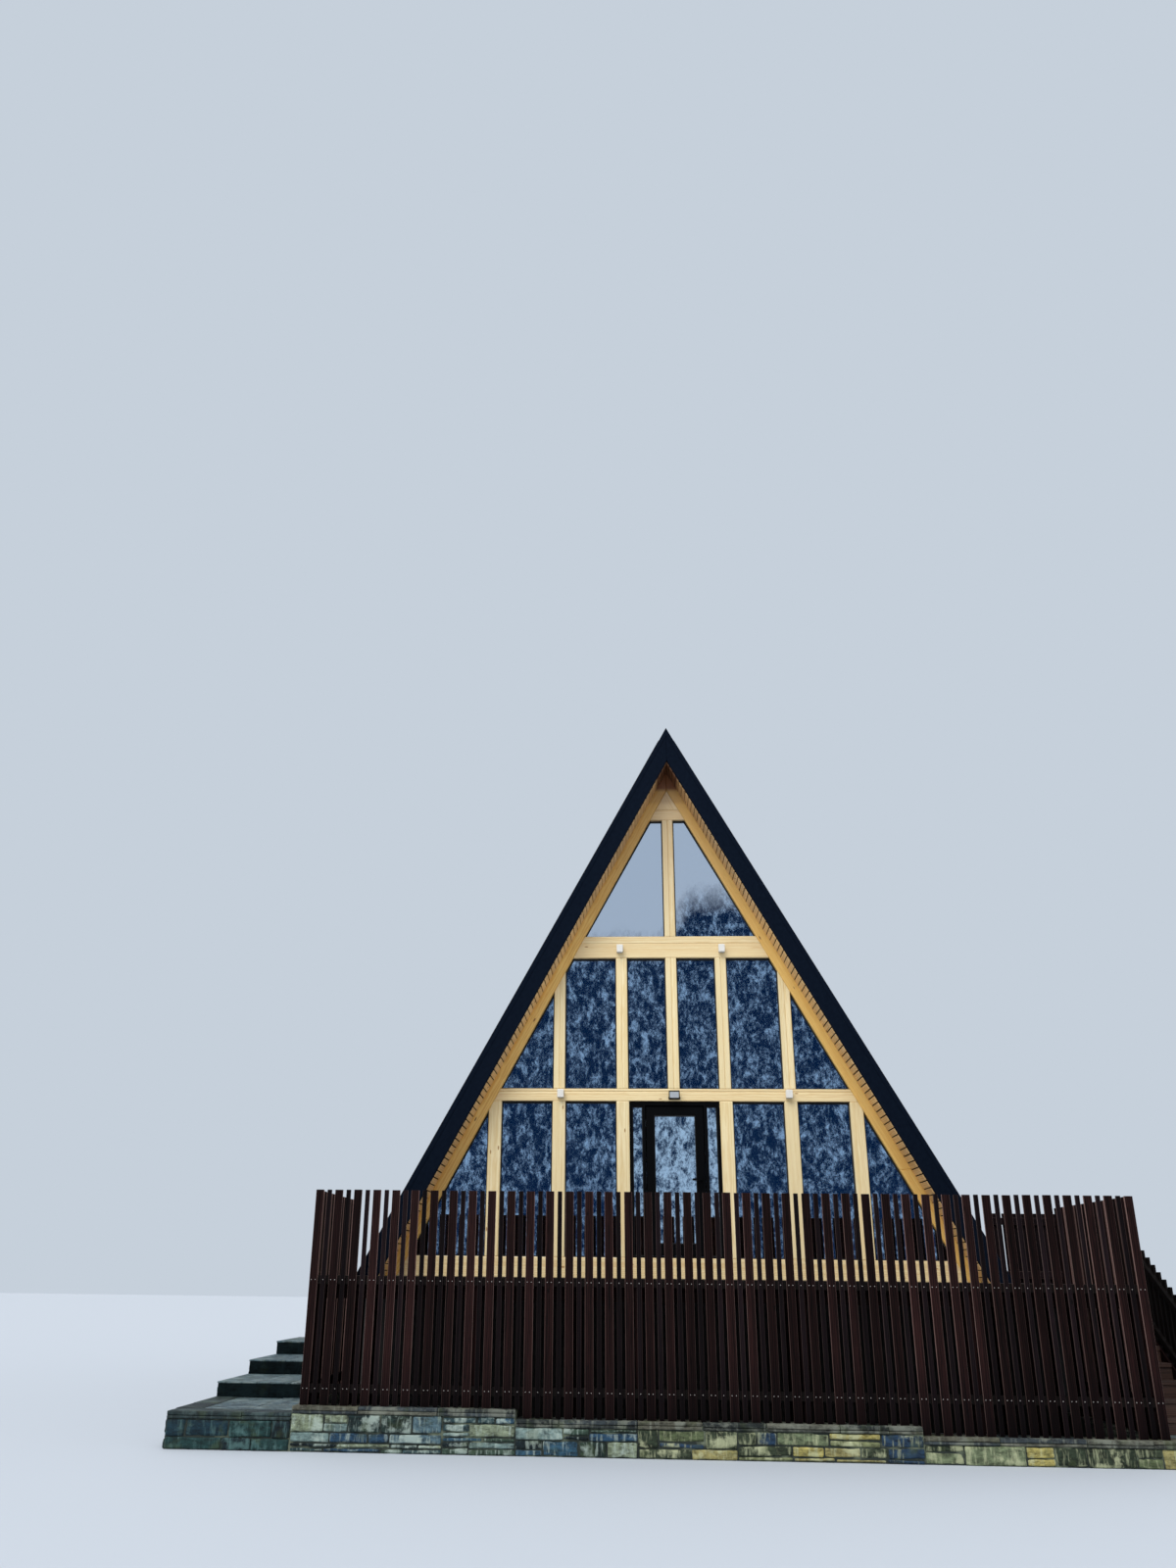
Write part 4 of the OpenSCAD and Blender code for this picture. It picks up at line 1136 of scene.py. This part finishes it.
# %% [markdown]
# The plinth is rubble under a thin cap of split slabs. A mason fills a wall in stretches: each stretch
# gets courses of its own heights, some of big blocks and some of thin slates, and the upright joints
# never line up. Every third block or so is split into two thinner ones. The same rule is written here for
# any upright rectangle. Stones stand 6 to 22 mm proud of the frame's plain wall, which shows between them
# as mortar, and the cap's upper slabs lie 12 mm over its top.

# %% Laying rubble
COURSES, THICKEST_COURSE = (0.045, 0.10, 0.125, 0.155), 0.19
STRETCH, SHORTEST_STRETCH = (0.9, 1.9), 0.45
STONE_WIDE, NARROWEST_STONE = (0.18, 0.64), 0.15
SPLIT_FROM, SPLIT_SHARE, SPLIT_AT = 0.11, 0.35, (0.35, 0.65)
STONE_PROUD, JOINT = (0.006, 0.022), (0.006, 0.022)
STONE_DEEP, STONE_TILT = 0.12, 0.02
CAP_HIGH, CAP_PROUD, CAP_DEEP = 0.065, 0.012, 0.30
CAP_WIDE, NARROWEST_CAP, LEAF_AT = (0.45, 0.95), 0.35, (0.42, 0.58)
CAP_OVER, CAP_GAP, CAP_TILT = (0.014, 0.028), 0.004, 0.002
A_TOUCH = 0.01
ROUGH = {"edge": 0.014, "slot": "stone", "rows": 9, "uneven": 0.032}
SPLIT = {"edge": 0.008, "slot": "stone", "rows": 7, "uneven": 0.010}


def rubble(x_at, y_at, along, outward, length, high_z, cap_start=0.0):
    """Stones and caps on one upright face, from the ground up. The cap, if any, begins at cap_start."""
    start, along, outward = Vector((x_at, y_at, 0)), Vector(along), Vector(outward)
    rough, flat = [], []
    field_top = high_z if cap_start is None else high_z - CAP_HIGH
    basis = Matrix([along, UP.cross(along), UP]).transposed()

    def stone(a, b, low, high, proud, deep, gap, most_tilt):
        """One stone from place a to place b along the face, between two heights."""
        middle = start + along * (a + b) / 2 + outward * (proud - deep / 2)
        middle.z = (low + high) / 2
        tilt = Matrix.Rotation(chance.uniform(-1, 1) * most_tilt, 3, "Y")
        return middle, (b - a - gap, deep, high - low - gap), (basis @ tilt).to_euler(), chance.random()

    at = 0.0
    while at < length - A_TOUCH:
        stretch = min(chance.uniform(*STRETCH), length - at)
        if length - at - stretch < SHORTEST_STRETCH:
            stretch = length - at
        cuts = [0.0]
        while field_top - cuts[-1] > THICKEST_COURSE:
            cuts.append(cuts[-1] + chance.choice(COURSES))
        cuts.append(field_top)
        for low, high in zip(cuts, cuts[1:]):
            x = at
            while x < at + stretch - A_TOUCH:
                wide = chance.uniform(*STONE_WIDE)
                if at + stretch - x - wide < NARROWEST_STONE:
                    wide = at + stretch - x
                split = low + (high - low) * chance.uniform(*SPLIT_AT)
                thick = high - low > SPLIT_FROM
                leaves = [low, split, high] if thick and chance.random() < SPLIT_SHARE else [low, high]
                for bed, top in zip(leaves, leaves[1:]):
                    rough.append(stone(x, x + wide, bed, top, chance.uniform(*STONE_PROUD), STONE_DEEP,
                                       chance.uniform(*JOINT), STONE_TILT))
                x += wide
        at += stretch
    x = length if cap_start is None else cap_start
    while x < length - A_TOUCH:
        wide = chance.uniform(*CAP_WIDE)
        if length - x - wide < NARROWEST_CAP:
            wide = length - x
        leaf = field_top + CAP_HIGH * chance.uniform(*LEAF_AT)
        for low, high in ((field_top, leaf), (leaf, high_z + CAP_PROUD)):
            flat.append(stone(x, x + wide, low, high, chance.uniform(*CAP_OVER), CAP_DEEP, CAP_GAP,
                              CAP_TILT))
        x += wide
    return rough, flat


def lay_stones(name, faces, material, cap_material=cap_stone):
    """Lays the rubble of several faces as one piece and their caps as another."""
    walls = [rubble(*face) for face in faces]
    rough = [stone for stones, caps in walls for stone in stones]
    flat = [slab for stones, caps in walls for slab in caps]
    lay(name + " rubble", rough, material=material, **ROUGH)
    if flat:
        lay(name + " caps", flat, material=cap_material, **SPLIT)


print("courses in millimetres:", [round(1000 * high) for high in COURSES])

# %% [markdown]
# The plinth's front steps down twice from left to right, and each step is a face of its own. The stone
# changes from blue-grey to a yellower, limy kind 1.3 m past the first step, so that place divides two
# pieces. At the right end the wall turns back round the landing at the stair's foot.

# %% The plinth
LIMY_PAST = 1.3
RIGHT, LEFT, BACK, FRONT = (1, 0, 0), (-1, 0, 0), (0, 1, 0), (0, -1, 0)
(wall_left_x, wall_front_y), wall_back_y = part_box("stone_wall_left")[0].xy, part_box("stone_wall_left")[1].y
right_end_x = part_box("stone_wall_right")[1].x
returns_back_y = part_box("stone_returns")[1].y
steps_low, steps_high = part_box("stone_steps")
step_right_x, landing_back_y = steps_high.x, steps_low.y
foot_low, foot_high = max(boxes("stone_landings"), key=lambda ends: ends[0].x)
high_top, middle_top, low_top = wall_tops
first_step, second_step = wall_steps
limy_from = first_step + LIMY_PAST
lay_stones("plinth left", [
    (step_right_x, wall_front_y, RIGHT, FRONT, first_step - step_right_x, high_top),
    (first_step, wall_front_y, RIGHT, FRONT, limy_from - first_step, middle_top),
], wall_stone)
lay_stones("plinth right", [
    (limy_from, wall_front_y, RIGHT, FRONT, second_step - limy_from, middle_top),
    (second_step, wall_front_y, RIGHT, FRONT, right_end_x - second_step, low_top),
], limy_stone)
lay_stones("stair foot", [
    (right_end_x, wall_front_y, BACK, RIGHT, foot_high.y - wall_front_y, low_top, CAP_DEEP),
    (right_end_x, foot_high.y, LEFT, BACK, right_end_x - foot_low.x, low_top, CAP_DEEP),
    (foot_low.x, foot_high.y, BACK, RIGHT, returns_back_y - foot_high.y, low_top),
], wall_stone)

# %% [markdown]
# The left landing is older and darker: one tall course of wet blue-green stone under thin slabs. Three
# broad steps rise behind it. Their outer faces are the same stone without a cap, as slabs lie on them.
# The wall beside them that carries the terrace's side screen shows only its cap.

# %% The landing and the steps' faces
SLAB = 0.05
landing_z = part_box("stone_landings")[1].z
step_deep = (steps_high.y - landing_back_y) / 3
step_rise = (steps_high.z - landing_z) / 3
lay_stones("landing", [
    (wall_left_x, wall_front_y, RIGHT, FRONT, step_right_x - wall_left_x, landing_z),
    (wall_left_x, wall_front_y, BACK, LEFT, landing_back_y - wall_front_y, landing_z, CAP_DEEP),
], landing_stone, wet_cap_stone)
faces = [(wall_left_x, steps_high.y, RIGHT, BACK, step_right_x - wall_left_x, steps_high.z - SLAB, None)]
for index in range(3):
    y, top = landing_back_y + index * step_deep, landing_z + (index + 1) * step_rise - SLAB
    faces.append((wall_left_x, y, BACK, LEFT, step_deep, top, None))
    if index:
        faces.append((step_right_x, y, BACK, RIGHT, step_deep, top, None))
lay_stones("step", faces, landing_stone)
strip = rubble(step_right_x, wall_back_y, BACK, LEFT, returns_back_y - wall_back_y, high_top)[1]
lay("side wall cap", strip, material=cap_stone, **SPLIT)

# %% [markdown]
# Each step has a tall slate riser and two rows of thin flagstones on top, three to a row and of unlike
# widths. The landings are paved with flags of about 0.55 by 0.6 m, each a few millimetres off its
# neighbour. They are blocks from the same tree, only smoother than rubble, because feet have worn them.

# %% Risers and flagstones
FLAG_SHARES = (0.36, 0.30, 0.34)
FLAG_WIDE, FLAG_DEEP, FLAG_THICK = 0.55, 0.6, 0.03
FLAG_JOINT, FLAG_SWING = 0.004, (0.004, 0.009)
RISER_IN, RISER_FRONT, RISER_BACK, RISER_UP = 0.002, 0.034, 0.03, 0.004
SLATE_JOINT, SLATE_OVER, SLATE_DOWN, SLATE_UP = 0.003, 0.012, 0.012, 0.008
SLATE_FRONT, SLATE_BACK = 0.038, 0.044
UNDER_CAP, UNDER_STAIR = 0.03, 0.02
risers, flags = [], []
for index in range(3):
    y, low_z = landing_back_y + index * step_deep, landing_z + index * step_rise
    top = low_z + step_rise
    risers.append(block((wall_left_x + RISER_IN, y - RISER_FRONT, low_z + RISER_UP),
                        (step_right_x, y + RISER_BACK, top - SLATE_DOWN)))
    x = wall_left_x - SLATE_OVER
    for share in FLAG_SHARES:
        wide = (step_right_x - wall_left_x + SLATE_OVER) * share
        for row in (0, 1):
            flags.append(block((x + SLATE_JOINT, y - SLATE_FRONT + row * step_deep / 2, top - SLATE_DOWN),
                               (x + wide - SLATE_JOINT, y - SLATE_BACK + (row + 1) * step_deep / 2,
                                top + SLATE_UP)))
        x += wide
for low_x, high_x, low_y, high_y, top in (
        (wall_left_x + CAP_DEEP - UNDER_CAP, step_right_x,
         wall_front_y + CAP_DEEP - UNDER_CAP, landing_back_y - UNDER_CAP, landing_z),
        (foot_low.x - UNDER_STAIR, right_end_x - CAP_DEEP + UNDER_CAP,
         wall_front_y + CAP_DEEP - UNDER_CAP, foot_high.y - CAP_DEEP + UNDER_CAP, low_top)):
    columns = round((high_x - low_x) / FLAG_WIDE)
    lines = max(1, round((high_y - low_y) / FLAG_DEEP))
    for column in range(columns):
        for line in range(lines):
            x = low_x + column * (high_x - low_x) / columns
            y = low_y + line * (high_y - low_y) / lines
            flags.append(block((x + FLAG_JOINT, y + FLAG_JOINT, top - FLAG_THICK),
                               (x + (high_x - low_x) / columns - FLAG_JOINT,
                                y + (high_y - low_y) / lines - FLAG_JOINT,
                                top + chance.uniform(*FLAG_SWING))))
lay("slate risers", risers, 0.006, step_slate, "stone", rows=9, uneven=0.008)
lay("flagstones", flags, 0.008, tread_stone, "stone", rows=7, uneven=0.006)
dress(mortar, "stone_wall_left", "stone_wall_middle", "stone_wall_right", "stone_returns", "stone_landings",
      "stone_steps")

# %% [markdown]
# The cabin stands on dark rendered walls. They show from the side and from behind, and between the
# screen's boards their dark colour is partly painted shade, for the shade under the terrace. Inside lie
# oiled floor boards, seen when the door opens.

# %% Foundation and floors
FLOOR_PLANK, FLOOR_GAP, FLOOR_EDGE = 0.145, 0.001, 0.002
FLOOR_SUNK, FLOOR_PROUD = 0.010, 0.004
WALL_IN, FRAME_OFF = 0.02, 0.01
# The dark render is partly painted shade: it keeps the space under the terrace dark between the boards.
dress(plinth_render, "foundation_ends", "foundation_sides")
eased("cabin_floor", "ground floor edge", FLOOR_EDGE, floor_pine)
eased("loft_floor", "loft floor edge", FLOOR_EDGE, floor_pine)
floor_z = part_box("cabin_floor")[1].z
half_room = roof_x(floor_z, roof_inset) - WALL_IN
front_y = frame_deep + FRAME_OFF
behind_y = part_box("back_rafters")[1].y - frame_deep - FRAME_OFF
count = int(2 * half_room / FLOOR_PLANK)
planks = []
for index in range(count):
    x = -half_room + index * 2 * half_room / count
    planks.append(block((x, front_y, floor_z - FLOOR_SUNK),
                        (x + 2 * half_room / count - FLOOR_GAP, behind_y, floor_z + FLOOR_PROUD), "y"))
lay("floor boards", planks, FLOOR_EDGE, floor_pine, "floor_timber")

# %% [markdown]
# Four little white cube lamps sit on the beams. Each is an enamelled box on a smaller foot, with a
# frosted glass above and below, so that it lights the beam up and down. All four are alike, so they share
# one tone.

# %% Cube lamps
EVEN_TONE = 0.5
LENS_THICK, LENS_IN, LENS_BACK, LENS_PROUD = 0.006, 0.012, 0.020, 0.004
FOOT_THICK, FOOT_IN, FOOT_DOWN, SHADOW_GAP = 0.010, 0.012, 0.010, 0.006
bodies, lenses = [], []
for low, high in boxes("wall_lamps"):
    bodies.append(block((low.x, low.y, low.z + LENS_PROUD),
                        (high.x, high.y - SHADOW_GAP, high.z - LENS_PROUD), tone=EVEN_TONE))
    bodies.append(block((low.x + FOOT_IN, high.y - FOOT_THICK, low.z + FOOT_DOWN),
                        (high.x - FOOT_IN, high.y, high.z - FOOT_DOWN), tone=EVEN_TONE))
    for z in (low.z, high.z - LENS_THICK):
        lenses.append(block((low.x + LENS_IN, low.y + LENS_IN, z),
                            (high.x - LENS_IN, high.y - LENS_BACK, z + LENS_THICK), tone=EVEN_TONE))
lay("cube lamps", bodies, 0.006, lamp_white, "lamp_white", "wall_lamps", rows=5)
lay("cube lamp glasses", lenses, 0.0015, lamp_lens, "lamp_white")

# %% [markdown]
# A floodlight hangs over the door: a black cradle round a pale glass face that tilts down by 18 degrees,
# with six cooling fins behind. Head, fins and glass share that tilt, so they are placed from two
# directions: the way the glass faces and the way up its face.

# %% Floodlight
HEAD_SIZE, HEAD_BACK, HEAD_UP = (0.150, 0.104, 0.034), 0.050, 0.006
FINS, FIN_SIZE, FIN_BACK, FIN_STEP = 6, (0.004, 0.090, 0.024), 0.027, 0.022
GLASS_SIZE, GLASS_OUT = (0.126, 0.082, 0.008), 0.016
ARM_OUT, ARM_HALF, ARM_FRONT, ARM_LOW, ARM_TOP = 0.078, 0.002, 0.030, 0.012, 0.036
PLATE_THICK, PLATE_LOW, PLATE_TOP = 0.006, 0.008, 0.040
flood_low, flood_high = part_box("floodlight")
flood_middle = (flood_low + flood_high) / 2
flood_tilt = math.radians(18)
face_out = Vector((0, -math.cos(flood_tilt), -math.sin(flood_tilt)))
face_up = Vector((0, -math.sin(flood_tilt), math.cos(flood_tilt)))
across = Vector((1, 0, 0))
head_middle = Vector((flood_middle.x, flood_low.y + HEAD_BACK, flood_middle.z + HEAD_UP))
cradle = [sloped(head_middle, across, face_up, HEAD_SIZE)]
for index in range(FINS):
    fin = head_middle - face_out * FIN_BACK + across * (index - (FINS - 1) / 2) * FIN_STEP
    cradle.append(sloped(fin, across, face_up, FIN_SIZE))
for sign in (-1, 1):
    arm_x = flood_middle.x + sign * ARM_OUT
    cradle.append(block((arm_x - ARM_HALF, flood_low.y + ARM_FRONT, flood_low.z + ARM_LOW),
                        (arm_x + ARM_HALF, flood_high.y, flood_low.z + ARM_TOP), "y"))
cradle.append(block((flood_low.x, flood_high.y - PLATE_THICK, flood_low.z + PLATE_LOW),
                    (flood_high.x, flood_high.y, flood_low.z + PLATE_TOP)))
glass = [sloped(head_middle + face_out * GLASS_OUT, across, face_up, GLASS_SIZE)]
lay("floodlight cradle", cradle, 0.0018, door_black, "lamp_black", "floodlight")
lay("floodlight glass", glass, 0.002, lamp_lens, "lamp_black")

# %% [markdown]
# The set is plain: a pale floor, a pale backdrop colour in the world, and soft light from the front left.
# The floor lies a millimetre low, so that it never shares a plane with the plinth's foot.

# %% Floor and key light
FLOOR_REACH, FLOOR_LOW = 90.0, 0.001
KEY_STRENGTH, KEY_SOFT, KEY_WAY = 1.9, math.radians(40), Vector((0.35, 0.75, -0.85))
floor_mesh = bpy.data.meshes.new("studio floor")
turns = ((-1, -1), (1, -1), (1, 1), (-1, 1))
floor_mesh.from_pydata([(x * FLOOR_REACH, y * FLOOR_REACH, 0) for x, y in turns], [], [(0, 1, 2, 3)])
floor_mesh.materials.append(finish("pale studio floor", 0.9, "#C6CDD5")[0])
floor = bpy.data.objects.new("studio floor", floor_mesh)
bpy.context.scene.collection.objects.link(floor)
floor.location.z = -FLOOR_LOW

sun_data = bpy.data.lights.new("soft key", "SUN")
sun_data.energy = KEY_STRENGTH
sun_data.angle = KEY_SOFT
sun = bpy.data.objects.new("soft key", sun_data)
sun.rotation_euler = KEY_WAY.to_track_quat("-Z", "Y").to_euler()
bpy.context.scene.collection.objects.link(sun)
print("studio floor:", 2 * FLOOR_REACH, "m wide; key light:", round(sun_data.energy, 2))

# %% [markdown]
# The world lights everything evenly, at a level where a colour renders about as it is written. Panes and
# metal mirror the same pale tone high up. Low down they mirror a dim blue, speckled band with a ragged
# upper edge, so that the middle row of panes is dark and the upper row is bright. The edge lies a little
# higher to the right. The specks are denser straight ahead of the door, whose pane is the palest of the
# lower row.

# %% World
BAND_TOP, BAND_HIGHER = (0.262, 0.286), 0.035
SPECKLE, RAGGED = 150.0, 0.05
AHEAD_OF_DOOR = (0.038, -1.0, 0.08)
world = bpy.data.worlds.new("plain studio")
bpy.context.scene.world = world
world.use_nodes = True
sky = world.node_tree
sky.nodes.clear()
ray = add(sky, "ShaderNodeLightPath", out=None).outputs
direction = add(sky, "ShaderNodeTexCoord", out="Generated")
parts = add(sky, "ShaderNodeSeparateXYZ", {0: direction}, out=None).outputs
higher = add(sky, "ShaderNodeMapRange", {"Value": parts[0], "From Min": 0.026, "From Max": 0.05,
                                         "To Max": BAND_HIGHER})
above_band = add(sky, "ShaderNodeMath", {0: parts[2], 1: higher}, operation="SUBTRACT")
stretched = add(sky, "ShaderNodeMapping", {"Vector": direction, "Scale": (1.0, 1.0, 0.6)})
speckle = add(sky, "ShaderNodeTexNoise",
              {"Vector": stretched, "Scale": SPECKLE, "Detail": 12.0, "Roughness": 0.9})
ragged = add(sky, "ShaderNodeMath", {0: speckle, 1: RAGGED, 2: above_band}, operation="MULTIPLY_ADD")
brighter = add(sky, "ShaderNodeMapRange",
               {"Value": ragged, "From Min": BAND_TOP[0], "From Max": BAND_TOP[1]})
from_patch = add(sky, "ShaderNodeVectorMath", {0: direction, 1: AHEAD_OF_DOOR}, out="Value",
                 operation="DISTANCE")
paler = add(sky, "ShaderNodeMapRange", {"Value": from_patch, "From Min": 0.03, "From Max": 0.06,
                                        "To Min": 0.045, "To Max": 0.0})
denser = add(sky, "ShaderNodeMath", {0: speckle, 1: paler}, operation="ADD")
specks = add(sky, "ShaderNodeMapRange", {"Value": denser, "From Min": 0.50, "From Max": 0.59})
band = add(sky, "ShaderNodeMix", {0: specks, 6: linear("#022142"), 7: linear("#A9C6E2")}, out=2,
           data_type="RGBA")
mirrored = add(sky, "ShaderNodeMix", {0: brighter, 6: band, 7: linear("#D3DAE3")}, out=2, data_type="RGBA")
light = add(sky, "ShaderNodeBackground", {"Color": linear("#EEF2F8"), "Strength": 0.84})
mirror = add(sky, "ShaderNodeBackground", {"Color": mirrored, "Strength": 1.0})
backdrop = add(sky, "ShaderNodeBackground", {"Color": linear("#C6D0DB"), "Strength": 1.0})
seen = add(sky, "ShaderNodeMath", {0: ray["Is Camera Ray"], 1: ray["Is Transmission Ray"]},
           operation="MAXIMUM")
lit = add(sky, "ShaderNodeMixShader", {0: ray["Is Glossy Ray"], 1: light, 2: mirror})
shown = add(sky, "ShaderNodeMixShader", {0: seen, 1: lit, 2: backdrop})
add(sky, "ShaderNodeOutputWorld", {0: shown}, out=None)
print("world:", len(sky.nodes), "nodes")

# %% [markdown]
# The camera stands low and a little left of the axis, and looks up by 22 degrees. Its place, tilt and
# lens were fitted to the posts, beams and verges, so lines of the render fall on those of the photograph.

# %% Camera
CAMERA_PLACE = (-0.622, -17.537, 1.763)
CAMERA_PITCH, CAMERA_YAW, CAMERA_ROLL = 22.115, 3.658, 0.687
LENS, SHIFT = 27.99, (0.0219, -0.0017)
camera_data = bpy.data.cameras.new("front view")
camera_data.sensor_fit = "VERTICAL"
camera_data.sensor_height = 36.0
camera_data.lens = LENS
camera_data.shift_x, camera_data.shift_y = SHIFT
camera_data.clip_end = 500.0
camera = bpy.data.objects.new("front view", camera_data)
bpy.context.scene.collection.objects.link(camera)
camera.matrix_world = (Matrix.Translation(CAMERA_PLACE)
                       @ (Matrix.Rotation(math.radians(CAMERA_YAW), 4, "Z")
                          @ Matrix.Rotation(math.radians(90 + CAMERA_PITCH), 4, "X")
                          @ Matrix.Rotation(math.radians(CAMERA_ROLL), 4, "Z")))
bpy.context.scene.camera = camera
bpy.context.scene.view_settings.view_transform = "Standard"
print("camera at", CAMERA_PLACE, "with a lens of", round(camera_data.lens, 2), "mm")
